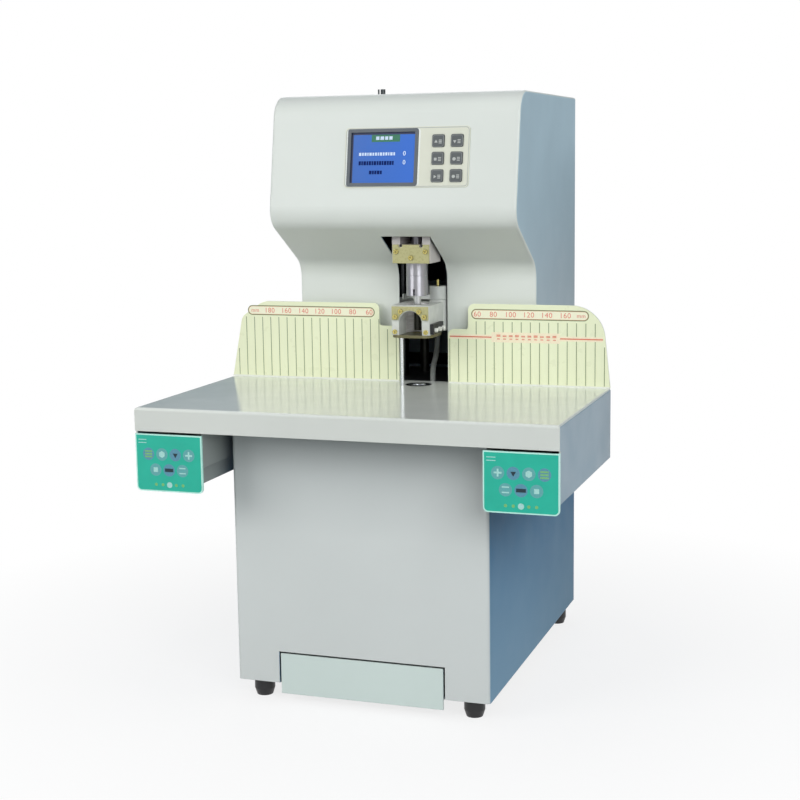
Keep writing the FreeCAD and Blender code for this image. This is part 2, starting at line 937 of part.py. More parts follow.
def make_drawers():
    """Two drawers under the table's ends, with the runners that carry them."""
    top = drawer_top_z
    runners = []
    for name, side in (("left_drawer", -1), ("right_drawer", 1)):
        middle = side * (half_width - drawer_width / 2)
        front = box(
            middle - drawer_width / 2,
            middle + drawer_width / 2,
            front_y,
            front_y + drawer_front_thickness,
            top - drawer_front_height,
            top,
        )
        lower = [
            edge
            for edge in front.Edges
            if is_along(edge, Y_AXIS) and edge.CenterOfMass.z < top - drawer_front_radius
        ]
        save(name + "_front", front.makeFillet(drawer_front_radius, lower))

        tray_front = front_y + drawer_front_thickness
        tray_rear = tray_front + drawer_length
        tray = box(middle - tray_half, middle + tray_half, tray_front, tray_rear, tray_base_z, tray_rim_z)
        well = box(
            middle - tray_half + drawer_wall,
            middle + tray_half - drawer_wall,
            tray_front + drawer_wall,
            tray_rear - drawer_wall,
            tray_base_z + drawer_wall,
            tray_rim_z + overrun,
        )
        lip_z = runner_z + runner_thickness + slide_gap
        lip_half = runner_half - gap
        lip = box(
            middle - lip_half,
            middle + lip_half,
            tray_front + runner_front_inset,
            tray_rear,
            lip_z,
            lip_z + drawer_wall,
        )
        save(name + "_tray", tray.fuse(lip).cut(well).removeSplitter())

        for end in (-1, 1):
            toward_cabinet = end != side
            web_top = table_underside if toward_cabinet else runner_z + runner_lip
            web = sorted((middle + end * runner_half, middle + end * (runner_half + runner_thickness)))
            shelf = sorted((middle + end * (tray_half + gap), middle + end * runner_half))
            y0 = front_y + runner_front_inset
            upright = box(web[0], web[1], y0, tray_rear, runner_z, web_top)
            ledge = box(shelf[0], shelf[1], y0, tray_rear, runner_z, runner_z + runner_thickness)
            runners.append(upright.fuse(ledge).removeSplitter())
    save("drawer_runners", *runners)


def make_scrap_drawer():
    """Scrap tray that hangs by its lips on the floor plate, and its front."""
    front_rear = cabinet_front_y + scrap_front_thickness
    front = box(
        -scrap_width / 2,
        scrap_width / 2,
        cabinet_front_y,
        front_rear,
        scrap_front_base_z,
        scrap_front_top_z,
    )
    save("scrap_drawer_front", front)
    rear = front_rear + scrap_length
    tray = box(-scrap_half, scrap_half, front_rear, rear, scrap_base_z, scrap_rim_z)
    lip_z = base_top + slide_gap
    lip_half = scrap_half + scrap_lip
    lip = box(-lip_half, lip_half, front_rear + sheet, rear, lip_z, lip_z + drawer_wall)
    well = box(
        -scrap_half + drawer_wall,
        scrap_half - drawer_wall,
        front_rear + drawer_wall,
        rear - drawer_wall,
        scrap_base_z + drawer_wall,
        scrap_rim_z + overrun,
    )
    save("scrap_drawer_tray", tray.fuse(lip).cut(well).removeSplitter())


def make_panel():
    """Membrane panel, screen, six keys and the board behind them on the head's face."""
    half = panel_half_height
    panel = rounded_box(panel_left_x, panel_right_x, -half, half, 0, panel_thickness, panel_radius)
    opening = rounded_box(
        screen_left_x - slide_gap,
        screen_right_x + slide_gap,
        -screen_half_height - slide_gap,
        screen_half_height + slide_gap,
        -overrun,
        overrun,
        screen_radius,
    )
    holes = [opening]
    for x, v in key_places():
        holes.append(key_prism(x, v, key_size / 2 + gap, -overrun, overrun))
    save("keypad_panel", on_face(panel.cut(holes)))

    high = screen_half_height
    screen = rounded_box(screen_left_x, screen_right_x, -high, high, 0, screen_rise, screen_radius)
    body = box(
        screen_left_x + screen_body_inset,
        screen_right_x - screen_body_inset,
        -high + screen_body_inset,
        high - screen_body_inset,
        -screen_depth,
        0,
    )
    recess = box(
        screen_left_x + screen_border,
        screen_right_x - screen_border,
        -high + screen_border,
        high - screen_border,
        screen_rise - screen_recess,
        screen_rise + overrun,
    )
    save("lcd_module", on_face(screen.fuse(body).removeSplitter().cut(recess)))

    board_low = -screen_depth - board_thickness
    board = box(
        panel_left_x + panel_radius,
        panel_right_x - panel_radius / 2,
        -half + panel_radius,
        half - panel_radius,
        board_low,
        -screen_depth,
    )
    pieces = [board]
    switch_top = -key_depth - key_travel - slide_gap / 2
    for x, v in key_places():
        reach = switch_size / 2
        pieces.append(box(x - reach, x + reach, v - reach, v + reach, -screen_depth, switch_top))
    standoff_x = (screen_right_x + standoff_inset, panel_right_x - standoff_inset)
    for x in standoff_x:
        for v in (-half + standoff_inset + panel_radius, half - standoff_inset):
            pieces.append(post(standoff_radius, x, v, -screen_depth, -sheet))
    fused = pieces[0].multiFuse(pieces[1:]).removeSplitter()
    save("panel_board", on_face(fused))

    for number, (x, v) in enumerate(key_places(), start=1):
        key = key_prism(x, v, key_size / 2, -key_depth, key_rise)
        save("key_" + str(number), on_face(key))


def screw_forward(x, y, z):
    """A socket screw whose head stands forward of a face at y."""
    head = along(screw_head_radius, x, y - screw_head_height, y, z)
    socket = along(socket_radius, x, y - screw_head_height - overrun, y - screw_head_height + socket_depth, z)
    shank = along(screw_shank_radius, x, y, y + screw_shank_length, z)
    return head.fuse(shank).removeSplitter().cut(socket)


def screw_hole(x, y, z):
    """The hole that a screw's shank fills."""
    return along(screw_shank_radius, x, y, y + screw_shank_length, z)


def press_screw_places():
    """The front screws of the press block, as (x, face y, z)."""
    plate_face = block_front_y - brass_thickness
    places = []
    for side in (-1, 1):
        places.append((punch_x + side * press_screw_inner_x, plate_face, press_screw_upper_z))
        places.append((punch_x + side * press_screw_outer_x, plate_face, press_screw_middle_z))
        places.append((punch_x + side * press_screw_edge_x, block_front_y, press_screw_lower_z))
    return places


def make_press_carriage():
    """Press block with its foot, brass plate, rod and fasteners."""
    left = punch_x - block_half
    right = punch_x + block_half
    front_block = box(left, right, block_front_y, block_rear_y, block_base_z, block_top_z)
    front_block = round_edges(front_block, fold_radius / 2, lambda edge: is_along(edge, Z_AXIS))
    boss = post(boss_radius, arm_pivot_x, arm_pivot_y, block_base_z, arm_base_z - arm_pivot_gap)
    overlap_y = block_rear_y - overrun
    neck = box(neck_left_x, neck_right_x, overlap_y, cross_front_y + overrun, neck_base_z, block_top_z)
    cross = box(
        punch_x - cross_half,
        punch_x + cross_half,
        cross_front_y,
        cross_rear_y,
        cross_base_z,
        block_top_z,
    )
    solid = front_block.multiFuse([boss, neck, cross]).removeSplitter()
    low = block_base_z - overrun
    high = arm_base_z + overrun
    bore = post(block_bore_radius, punch_x, punch_y, low, high)
    window = box(
        punch_x - block_bore_radius,
        punch_x + block_bore_radius,
        block_front_y - overrun,
        punch_y,
        low,
        window_spring_z,
    )
    arch = along(block_bore_radius, punch_x, block_front_y - overrun, punch_y, window_spring_z)
    cuts = [bore, window, arch]
    cuts.append(post(rod_radius, rod_x, rod_y, low, block_base_z + rod_grip))
    cuts.append(post(pivot_radius, arm_pivot_x, arm_pivot_y, block_top_z - rod_grip, high))
    cuts.append(post(press_screw_radius + running_gap, press_screw_x, press_screw_y, low, high))
    for side in (-1, 1):
        x = punch_x + side * columns_apart / 2
        cuts.append(post(guide_column_radius + running_gap, x, guide_column_y, low, high))
    for x, face, z in press_screw_places():
        cuts.append(screw_hole(x, face, z))
    save("press_block", solid.cut(cuts))

    plate = box(
        left + brass_inset,
        right - brass_inset,
        block_front_y - brass_thickness,
        block_front_y,
        press_brass_base_z,
        press_brass_top_z,
    )
    arch = along(
        press_brass_arch, punch_x, block_front_y - overrun, block_front_y + overrun, window_spring_z
    )
    plate_cuts = [arch]
    for x, face, z in press_screw_places():
        plate_cuts.append(screw_hole(x, face, z))
    save("press_brass_plate", plate.cut(plate_cuts))

    foot = box(
        left - foot_plate_overlap,
        right + foot_plate_overlap,
        block_front_y - foot_plate_overlap,
        foot_plate_rear_y,
        block_base_z - foot_plate_thickness,
        block_base_z,
    )
    front_corners = [
        edge
        for edge in foot.Edges
        if is_along(edge, Z_AXIS) and edge.CenterOfMass.y < punch_y
    ]
    foot = foot.makeFillet(foot_plate_radius, front_corners)
    foot_hole = post(foot_plate_hole, punch_x, punch_y, low, block_base_z)
    rod = post(rod_radius, rod_x, rod_y, rod_base_z, block_base_z + rod_grip)
    save("press_foot_plate", foot.cut([foot_hole, rod]))
    save("press_guide_rod", rod)

    fasteners = [screw_forward(x, face, z) for x, face, z in press_screw_places()]
    pivot = post(pivot_radius, arm_pivot_x, arm_pivot_y, block_top_z - rod_grip, hub_top_z)
    cap = post(pivot_cap_radius, arm_pivot_x, arm_pivot_y, hub_top_z, pivot_top_z)
    fasteners.append(pivot.fuse(cap).removeSplitter())
    save("press_fasteners", *fasteners)

    holder_x = right + terminal_depth
    pieces = [box(right, holder_x, terminal_front_y, terminal_rear_y, terminal_base_z, terminal_top_z)]
    middle_y = (terminal_front_y + terminal_rear_y) / 2
    for step in (-1, 0, 1):
        y = middle_y + step * plugs_apart
        pieces.append(across(plug_radius, holder_x, holder_x + plug_length, y, plug_z))
    save("terminal_block", *pieces)


def make_cable():
    """Cable that runs whole from the press block to the bed plate."""
    cable, radii, length = piped(cable_route, cable_radius)
    save("throat_cable", cable)
    print("cable arcs", radii, "length", round(length, 1))
    print("cable volume share", round(cable.Volume / (math.pi * cable_radius**2 * length), 4))


def make_feed_arm():
    """Swinging arm with an open fork that closes round the punch axis."""
    reach = math.hypot(arm_pivot_x - punch_x, arm_pivot_y - punch_y)
    tip_x = arm_pivot_x - reach
    top = arm_base_z + arm_thickness
    hub = post(boss_radius, arm_pivot_x, arm_pivot_y, arm_base_z, hub_top_z)
    blade = box(
        tip_x, arm_pivot_x, arm_pivot_y - arm_half, arm_pivot_y + arm_half, arm_base_z, top
    )
    tip = post(arm_tip_radius, tip_x, arm_pivot_y, arm_base_z, top)
    arm = hub.multiFuse([blade, tip]).removeSplitter()
    low = arm_base_z - overrun
    high = hub_top_z + overrun
    fork = post(arm_slot_half, tip_x, arm_pivot_y, low, high)
    mouth_front = arm_pivot_y - arm_tip_radius - overrun
    mouth = box(tip_x - arm_slot_half, tip_x + arm_slot_half, mouth_front, arm_pivot_y, low, high)
    pin_hole = post(pivot_radius + running_gap, arm_pivot_x, arm_pivot_y, low, high)
    save("feed_arm", arm.cut([fork, mouth, pin_hole]))
    swing = math.degrees(math.atan2(arm_pivot_y - punch_y, arm_pivot_x - punch_x))
    print("feed arm swing", round(swing, 2), "reach", round(reach, 2))


def drill_screw_places():
    """The three front screws of the drill bracket, as (x, face y, z)."""
    face = bracket_front_y - brass_thickness
    return [
        (punch_x - drill_screw_side_x, face, drill_screw_side_z),
        (punch_x, face, drill_screw_low_z),
        (punch_x + drill_screw_side_x, face, drill_screw_side_z),
    ]


def make_drill_bracket():
    """Drill bracket with its brass plate and screws."""
    left = punch_x - block_half
    right = punch_x + block_half
    floor = box(left, right, bracket_front_y, bracket_rear_y, bracket_base_z, bracket_floor_z)
    left_arm = box(
        left, left + arm_wall, bracket_front_y, bracket_rear_y, bracket_base_z, bracket_top_z
    )
    right_arm = box(
        right - arm_wall, right, bracket_front_y, bracket_rear_y, bracket_base_z, bracket_top_z
    )
    cheek = box(
        right - arm_wall,
        right,
        bracket_rear_y - overrun,
        cross_front_y + overrun,
        cheek_raised_z,
        bracket_top_z,
    )
    cross = box(
        punch_x - cross_half,
        punch_x + cross_half,
        cross_front_y,
        cross_rear_y,
        drill_cross_base_z,
        bracket_top_z,
    )
    motor_plate = box(
        punch_x - motor_plate_half,
        punch_x + motor_plate_half,
        cross_rear_y - overrun,
        motor_plate_rear_y,
        bracket_top_z - motor_plate_thickness,
        bracket_top_z,
    )
    solid = floor.multiFuse([left_arm, right_arm, cheek, cross, motor_plate]).removeSplitter()
    low = bracket_base_z - overrun
    high = bracket_top_z + overrun
    cuts = [
        post(spindle_shaft_radius + running_gap, punch_x, punch_y, low, high),
        post(press_screw_radius + screw_clear, press_screw_x, press_screw_y, low, high),
        post(drill_screw_radius + running_gap, drill_screw_x, drill_screw_y, low, high),
        post(motor_shaft_radius + screw_clear, punch_x, drill_motor_y, low, high),
    ]
    for side in (-1, 1):
        x = punch_x + side * columns_apart / 2
        cuts.append(post(guide_column_radius + running_gap, x, guide_column_y, low, high))
    for x, face, z in drill_screw_places():
        cuts.append(screw_hole(x, face, z))
    save("drill_bracket", solid.cut(cuts))

    plate = box(
        left + brass_inset,
        right - brass_inset,
        bracket_front_y - brass_thickness,
        bracket_front_y,
        bracket_base_z,
        bracket_floor_z,
    )
    plate_cuts = []
    for side in (-1, 1):
        x = punch_x + side * drill_brass_notch_share * 2 * block_half
        plate_cuts.append(
            along(
                drill_brass_notch,
                x,
                bracket_front_y - overrun,
                bracket_front_y,
                bracket_floor_z - drill_brass_notch / 2,
            )
        )
    for x, face, z in drill_screw_places():
        plate_cuts.append(screw_hole(x, face, z))
    save("drill_brass_plate", plate.cut(plate_cuts))
    save("drill_plate_screws", *[screw_forward(x, face, z) for x, face, z in drill_screw_places()])


def make_spindle():
    """Hollow spindle, its hollow bit and its pulley."""
    low = spindle_base_z
    shaft_top = pulley_base_z + pulley_height + pulley_flange
    barrel_top = bracket_base_z - gap
    barrel = post(spindle_radius, punch_x, punch_y, low, barrel_top)
    shaft = post(spindle_shaft_radius, punch_x, punch_y, barrel_top, shaft_top)
    groove = ring(
        spindle_radius + overrun,
        spindle_radius - spindle_groove,
        punch_x,
        punch_y,
        spindle_groove_z,
        spindle_groove_z + spindle_groove,
    )
    slot = box(
        punch_x - spindle_slot_width / 2,
        punch_x + spindle_slot_width / 2,
        punch_y - spindle_radius - overrun,
        punch_y - bit_radius,
        low - overrun,
        low + spindle_slot_height,
    )
    bore = post(spindle_bore, punch_x, punch_y, low - overrun, shaft_top + overrun)
    chuck = post(bit_radius, punch_x, punch_y, low - overrun, low + bit_grip)
    solid = barrel.fuse(shaft).removeSplitter()
    save("spindle", solid.cut([groove, slot, bore, chuck]))
    save("drill_bit", ring(bit_radius, spindle_bore, punch_x, punch_y, bit_base_z, low + bit_grip))


def pulley(radius, bore, x, y):
    """A flat-belt pulley with a flange above and below."""
    top = pulley_base_z + pulley_height
    body = ring(radius, bore, x, y, pulley_base_z, top)
    flange_radius = radius + pulley_lip
    lower = ring(flange_radius, bore, x, y, pulley_base_z, pulley_base_z + pulley_flange)
    upper = ring(flange_radius, bore, x, y, top - pulley_flange, top)
    return body.multiFuse([lower, upper]).removeSplitter()


def belt_loop(extra, z0, z1):
    """The solid inside a belt that runs round both pulleys."""
    big = spindle_pulley_radius + extra
    small = motor_pulley_radius + extra
    span = drill_motor_y - punch_y
    lean = math.asin((big - small) / span)
    front_leave_y = punch_y + big * math.sin(lean)
    rear_leave_y = drill_motor_y + small * math.sin(lean)
    front_left = FreeCAD.Vector(punch_x - big * math.cos(lean), front_leave_y, z0)
    front_right = FreeCAD.Vector(punch_x + big * math.cos(lean), front_leave_y, z0)
    front_tip = FreeCAD.Vector(punch_x, punch_y - big, z0)
    rear_left = FreeCAD.Vector(punch_x - small * math.cos(lean), rear_leave_y, z0)
    rear_right = FreeCAD.Vector(punch_x + small * math.cos(lean), rear_leave_y, z0)
    rear_tip = FreeCAD.Vector(punch_x, drill_motor_y + small, z0)
    wire = Part.Wire(
        [
            Part.Arc(front_left, front_tip, front_right).toShape(),
            Part.LineSegment(front_right, rear_right).toShape(),
            Part.Arc(rear_right, rear_tip, rear_left).toShape(),
            Part.LineSegment(rear_left, front_left).toShape(),
        ]
    )
    return Part.Face(wire).extrude(FreeCAD.Vector(0, 0, z1 - z0))


def make_belt_drive():
    """Pulleys, belt and motor that turn the spindle."""
    save("spindle_pulley", pulley(spindle_pulley_radius, spindle_shaft_radius, punch_x, punch_y))
    belt_low = pulley_base_z + pulley_flange + gap
    belt_high = pulley_base_z + pulley_height - pulley_flange - gap
    outer = belt_loop(slide_gap + belt_thickness, belt_low, belt_high)
    inner = belt_loop(slide_gap, belt_low - overrun, belt_high + overrun)
    save("drive_belt", outer.cut(inner))

    plate_underside = bracket_top_z - motor_plate_thickness
    motor_low = plate_underside - drill_motor_length
    body = post(drill_motor_radius, punch_x, drill_motor_y, motor_low, plate_underside)
    waist = ring(
        drill_motor_radius + overrun,
        drill_motor_radius - motor_cap_gap,
        punch_x,
        drill_motor_y,
        motor_low + motor_cap_height,
        plate_underside - motor_cap_height,
    )
    shaft_low = plate_underside - bit_grip
    socket = post(
        motor_shaft_radius + running_gap, punch_x, drill_motor_y, shaft_low, plate_underside + overrun
    )
    save("drill_motor", body.cut([waist, socket]))
    shaft_top = pulley_base_z + pulley_height
    shaft = post(motor_shaft_radius, punch_x, drill_motor_y, shaft_low + gap, shaft_top)
    wheel = pulley(motor_pulley_radius, motor_shaft_radius / 2, punch_x, drill_motor_y)
    save("motor_pulley", wheel.fuse(shaft).removeSplitter())


def square_motor(x, y, size, z0, z1, shaft_radius, depth):
    """A square stepping motor with a bore that holds its screw's foot."""
    half = size / 2
    body = box(x - half, x + half, y - half, y + half, z0, z1)
    body = round_edges(body, corner_radius, lambda edge: is_along(edge, Z_AXIS))
    return body.cut(post(shaft_radius + running_gap, x, y, z1 - depth, z1 + overrun))


def make_lift_drives():
    """Motors and screws that move the two carriages."""
    motor_low = bed_underside - press_motor_height
    motor = square_motor(
        press_screw_x,
        press_screw_y,
        press_motor_size,
        motor_low,
        bed_underside,
        press_screw_radius,
        screw_grip,
    )
    save("press_lift_motor", motor)
    screw_low = bed_underside - screw_grip + gap
    screw_top = frame_top_z + head_plate
    save(
        "press_lead_screw",
        post(press_screw_radius, press_screw_x, press_screw_y, screw_low, screw_top),
    )
    motor_top = block_top_z + drill_motor_height
    motor = square_motor(
        drill_screw_x,
        drill_screw_y,
        drill_motor_size,
        block_top_z,
        motor_top,
        drill_screw_radius,
        screw_grip,
    )
    save("drill_lift_motor", motor)
    screw_low = motor_top - screw_grip + gap
    save(
        "drill_lead_screw",
        post(drill_screw_radius, drill_screw_x, drill_screw_y, screw_low, drill_screw_top_z),
    )


def make_die():
    """Die ring and cutting pad in the table, with the anvil and its actuator below."""
    seat = table_height - die_depth
    die = ring(die_radius, die_bore, punch_x, punch_y, seat, table_height)
    rim = [
        edge
        for edge in die.Edges
        if edge.CenterOfMass.z > table_height - gap and edge.BoundBox.XLength < 2 * die_bore + gap
    ]
    save("die_ring", die.makeChamfer(die_chamfer, rim))
    pad_top = table_height - die_chamfer - pad_sink
    save("cutting_pad", ring(die_bore, pad_bore, punch_x, punch_y, seat, pad_top))

    anvil_top = pad_top - anvil_sink
    anvil_low = anvil_top - anvil_length
    rod_size = pad_bore - running_gap
    rod = post(rod_size, punch_x, punch_y, anvil_low, anvil_top)
    flange_low = anvil_low + anvil_flange_height
    flange_high = flange_low + anvil_flange_height
    flange = post(anvil_flange_radius, punch_x, punch_y, flange_low, flange_high)
    save("lower_anvil", rod.fuse(flange).removeSplitter())

    body = post(actuator_radius, punch_x, punch_y, bed_underside - actuator_height, bed_underside)
    chamber = post(
        actuator_chamber_radius,
        punch_x,
        punch_y,
        flange_low - gap,
        flange_low + actuator_chamber_height - anvil_flange_height,
    )
    low = anvil_low - anvil_travel - gap
    guide = post(pad_bore, punch_x, punch_y, low, bed_underside + overrun)
    save("anvil_actuator", body.cut([chamber, guide]))


def make_feed_tube():
    """Steel tube that leads the rivet tube from the head's top down to the arm."""
    outer, radii, length = piped(tube_route, tube_radius)
    inner = piped(tube_route, tube_bore)[0]
    x = tube_inlet_x
    y = tube_inlet_y
    top = overall_height
    pin = post(stop_pin_radius, x - stop_pin_offset, y, top - stop_pin_length, top)
    bridge_z = top - stop_pin_length
    bridge = box(
        x - stop_pin_offset - stop_pin_radius,
        x,
        y - stop_pin_radius,
        y + stop_pin_radius,
        bridge_z,
        bridge_z + 2 * stop_pin_radius,
    )
    arm_y = frame_front_y + overrun
    arm_low = frame_top_z - stop_pin_radius * 2
    hanger = box(x - tube_radius, x + tube_radius, y, arm_y, arm_low, frame_top_z)
    solid = outer.multiFuse([pin, bridge, hanger]).removeSplitter().cut(inner)
    save("feed_tube", solid)
    print("feed tube arcs", radii, "length", round(length, 1))


def make_power():
    """Mains inlet, rocker switch and power supply."""
    outside = rear_y - sheet
    half_x = inlet_width / 2
    half_z = inlet_height / 2
    body = box(
        inlet_x - half_x,
        inlet_x + half_x,
        outside - inlet_depth,
        outside,
        inlet_z - half_z,
        inlet_z + half_z,
    )
    flange = box(
        inlet_x - half_x - inlet_flange,
        inlet_x + half_x + inlet_flange,
        outside,
        rear_y,
        inlet_z - half_z - inlet_flange,
        inlet_z + half_z + inlet_flange,
    )
    well = box(
        inlet_x - socket_width / 2,
        inlet_x + socket_width / 2,
        rear_y - socket_well,
        rear_y + overrun,
        inlet_z - socket_height / 2,
        inlet_z + socket_height / 2,
    )
    save("power_inlet", body.fuse(flange).removeSplitter().cut(well))

    pivot_y = rear_y - rocker_pivot_depth
    half = rocker_width / 2
    drum = across(rocker_radius, rocker_x - half, rocker_x + half, pivot_y, inlet_z)
    keep = box(
        rocker_x - half - overrun,
        rocker_x + half + overrun,
        pivot_y - rocker_back,
        outside + rocker_rise,
        inlet_z - rocker_radius - overrun,
        inlet_z + rocker_radius + overrun,
    )
    save("power_switch", drum.common(keep))

    supply = box(
        supply_x,
        supply_x + supply_width,
        supply_y,
        supply_y + supply_depth,
        base_top,
        base_top + supply_height,
    )
    supply = round_edges(supply, fold_radius, lambda edge: is_along(edge, Z_AXIS))
    save("power_supply", supply)


os.makedirs("parts", exist_ok=True)
make_base()
make_cabinet()
make_frame()
make_table()
make_gauges()
make_front_cover()
make_side_covers()
make_rear_covers()
make_drawers()
make_scrap_drawer()
make_panel()
make_press_carriage()
make_cable()
make_feed_arm()
make_drill_bracket()
make_spindle()
make_belt_drive()
make_lift_drives()
make_die()
make_feed_tube()
make_power()
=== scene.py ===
import math

import bmesh
import bpy
from mathutils import Matrix, Vector


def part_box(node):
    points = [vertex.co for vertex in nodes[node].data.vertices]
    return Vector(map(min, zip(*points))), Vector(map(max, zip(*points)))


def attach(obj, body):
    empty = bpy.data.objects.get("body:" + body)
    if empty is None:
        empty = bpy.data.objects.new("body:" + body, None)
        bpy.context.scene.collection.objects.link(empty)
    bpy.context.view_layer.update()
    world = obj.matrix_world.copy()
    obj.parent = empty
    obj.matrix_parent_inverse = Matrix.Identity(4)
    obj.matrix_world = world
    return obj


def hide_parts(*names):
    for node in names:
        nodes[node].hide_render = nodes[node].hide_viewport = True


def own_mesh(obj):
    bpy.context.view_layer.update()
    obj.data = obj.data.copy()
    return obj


# Desk machine that drills and rivets documents. Metres, +Z up, front towards -Y.
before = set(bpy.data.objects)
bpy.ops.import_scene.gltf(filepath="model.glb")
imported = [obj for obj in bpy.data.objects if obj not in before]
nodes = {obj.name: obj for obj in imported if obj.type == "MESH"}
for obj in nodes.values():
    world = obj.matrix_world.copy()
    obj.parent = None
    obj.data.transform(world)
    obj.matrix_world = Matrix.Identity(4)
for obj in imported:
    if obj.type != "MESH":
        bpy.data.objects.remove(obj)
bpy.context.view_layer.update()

MM = 0.001

# Camera of the photograph: place, heading, tilt and focal length in pixels of an 800 pixel frame
IMAGE_SIZE = 800
CAMERA_PLACE = (0.5306, -1.5727, 0.5578)
CAMERA_YAW = math.radians(-19.0)
CAMERA_PITCH = math.radians(8.92)
CAMERA_ROLL = math.radians(-0.82)
CAMERA_FOCUS = 1524.0
SENSOR = 36.0

# Sizes that the details repeat from the solids: places of the punch, table, plates and covers
PUNCH_X = 0.011
TABLE_Z = 0.315
GAUGE_Y = 0.017
DRAWER_FACE_Y = -0.220
COVER_INSIDE_Y = 0.217
ARCH_RADIUS = 0.0132
HOLDER_X = 0.0366
SHANK_Z = 0.4035
NOTCH_APART = 23.22 * MM
NOTCH_DROP = 1.1 * MM
NOTCH_HOLE = 1.6 * MM

# Thickness of a printed layer, and radius over which the edge of a sheet turns
PRINT = 0.00005
SHEET_EDGE = 0.0005


def srgb(red, green, blue):
    """Linear colour from 8 bit values as they show on a screen."""
    linear = []
    for value in (red, green, blue):
        share = value / 255
        linear.append(share / 12.92 if share <= 0.04045 else ((share + 0.055) / 1.055) ** 2.4)
    return (*linear, 1.0)


def shade(colour, amount):
    """A colour made darker or lighter by a factor."""
    return (*[min(1.0, channel * amount) for channel in colour[:3]], 1.0)


class Shader:
    """A principled material with object coordinates, and short calls that add nodes to it."""

    def __init__(self, name, roughness=0.5, metallic=0.0, ior=1.5, specular=0.5):
        self.material = bpy.data.materials.new(name)
        self.material.use_nodes = True
        self.tree = self.material.node_tree
        self.surface = self.tree.nodes["Principled BSDF"]
        self.surface.inputs["Metallic"].default_value = metallic
        self.surface.inputs["IOR"].default_value = ior
        self.surface.inputs["Specular IOR Level"].default_value = specular
        self.surface.inputs["Roughness"].default_value = roughness
        self.object = self.add("ShaderNodeTexCoord").outputs["Object"]

    def add(self, kind, **settings):
        node = self.tree.nodes.new(kind)
        for key, value in settings.items():
            setattr(node, key, value)
        return node

    def link(self, output, socket):
        self.tree.links.new(output, socket)

    def fill(self, socket, value):
        """Link an output to a socket, or set a plain value on it."""
        if isinstance(value, bpy.types.NodeSocket):
            self.link(value, socket)
        else:
            socket.default_value = value

    def noise(self, scale, detail=3.0, roughness=0.5, stretch=(1, 1, 1)):
        """Noise over the object, its scale in cells per metre."""
        mapping = self.add("ShaderNodeMapping")
        mapping.inputs["Scale"].default_value = stretch
        self.link(self.object, mapping.inputs["Vector"])
        node = self.add("ShaderNodeTexNoise")
        node.inputs["Scale"].default_value = scale
        node.inputs["Detail"].default_value = detail
        node.inputs["Roughness"].default_value = roughness
        self.link(mapping.outputs["Vector"], node.inputs["Vector"])
        return node.outputs["Fac"]

    def spread(self, value, low, high, from_low=0.3, from_high=0.7):
        """A value carried from one range to another."""
        node = self.add("ShaderNodeMapRange")
        node.inputs["From Min"].default_value = from_low
        node.inputs["From Max"].default_value = from_high
        node.inputs["To Min"].default_value = low
        node.inputs["To Max"].default_value = high
        self.link(value, node.inputs["Value"])
        return node.outputs["Result"]

    def mix(self, factor, first, second):
        """A colour between two, each a colour or an output."""
        node = self.add("ShaderNodeMix", data_type="RGBA")
        for socket, value in ((node.inputs[0], factor), (node.inputs[6], first), (node.inputs[7], second)):
            self.fill(socket, value)
        return node.outputs[2]

    def math(self, operation, first, second=0.0):
        node = self.add("ShaderNodeMath", operation=operation)
        for socket, value in zip(node.inputs, (first, second)):
            self.fill(socket, value)
        return node.outputs[0]

    def axis(self, vector, name):
        node = self.add("ShaderNodeSeparateXYZ")
        self.link(vector, node.inputs[0])
        return node.outputs[name]

    def facing(self, name, low=0.25, high=0.85):
        """How far a face looks along an axis, either way, from 0 to 1."""
        normal = self.add("ShaderNodeNewGeometry").outputs["Normal"]
        return self.spread(self.math("ABSOLUTE", self.axis(normal, name)), 0.0, 1.0, low, high)

    def rounded(self, radius):
        """Normal that turns softly over an edge, and how near the edge is, from 0 to 1."""
        bevel = self.add("ShaderNodeBevel", samples=6)
        bevel.inputs["Radius"].default_value = radius
        straight = self.add("ShaderNodeNewGeometry").outputs["Normal"]
        turn = self.add("ShaderNodeVectorMath", operation="DOT_PRODUCT")
        self.link(bevel.outputs["Normal"], turn.inputs[0])
        self.link(straight, turn.inputs[1])
        return bevel.outputs["Normal"], self.spread(turn.outputs["Value"], 1.0, 0.0, 0.90, 0.995)

    def crevice(self, reach):
        """How open a place is, from 0 in a narrow recess to 1."""
        node = self.add("ShaderNodeAmbientOcclusion", samples=6)
        node.inputs["Distance"].default_value = reach
        return self.spread(node.outputs["AO"], 0.0, 1.0, 0.25, 0.85)

    def colour(self, output):
        self.fill(self.surface.inputs["Base Color"], output)

    def roughness(self, output):
        self.fill(self.surface.inputs["Roughness"], output)

    def bump(self, height, distance, strength=1.0, normal=None):
        node = self.add("ShaderNodeBump")
        node.inputs["Distance"].default_value = distance
        node.inputs["Strength"].default_value = strength
        self.link(height, node.inputs["Height"])
        if normal:
            self.link(normal, node.inputs["Normal"])
        self.link(node.outputs["Normal"], self.surface.inputs["Normal"])


# How square to an axis a face is before it takes the colour meant for it, from not at all to fully
LOOKS_UP = (0.5, 0.95)
LOOKS_ASIDE = (0.80, 0.97)

# Depth over which a side goes from its front tone to its rear tone, a painted shade that darkens the side
# towards the rear
SIDE_DEPTH = (-0.05, 0.21)
FRONT_SHADE = 1.14

COAT_GLOSS = 0.12
# Painted shade under the table: the tone it darkens towards, and its greatest share
UNDER_TABLE_SHADE_TONE = srgb(52, 70, 84)
UNDER_TABLE_SHADE_SHARE = 0.36


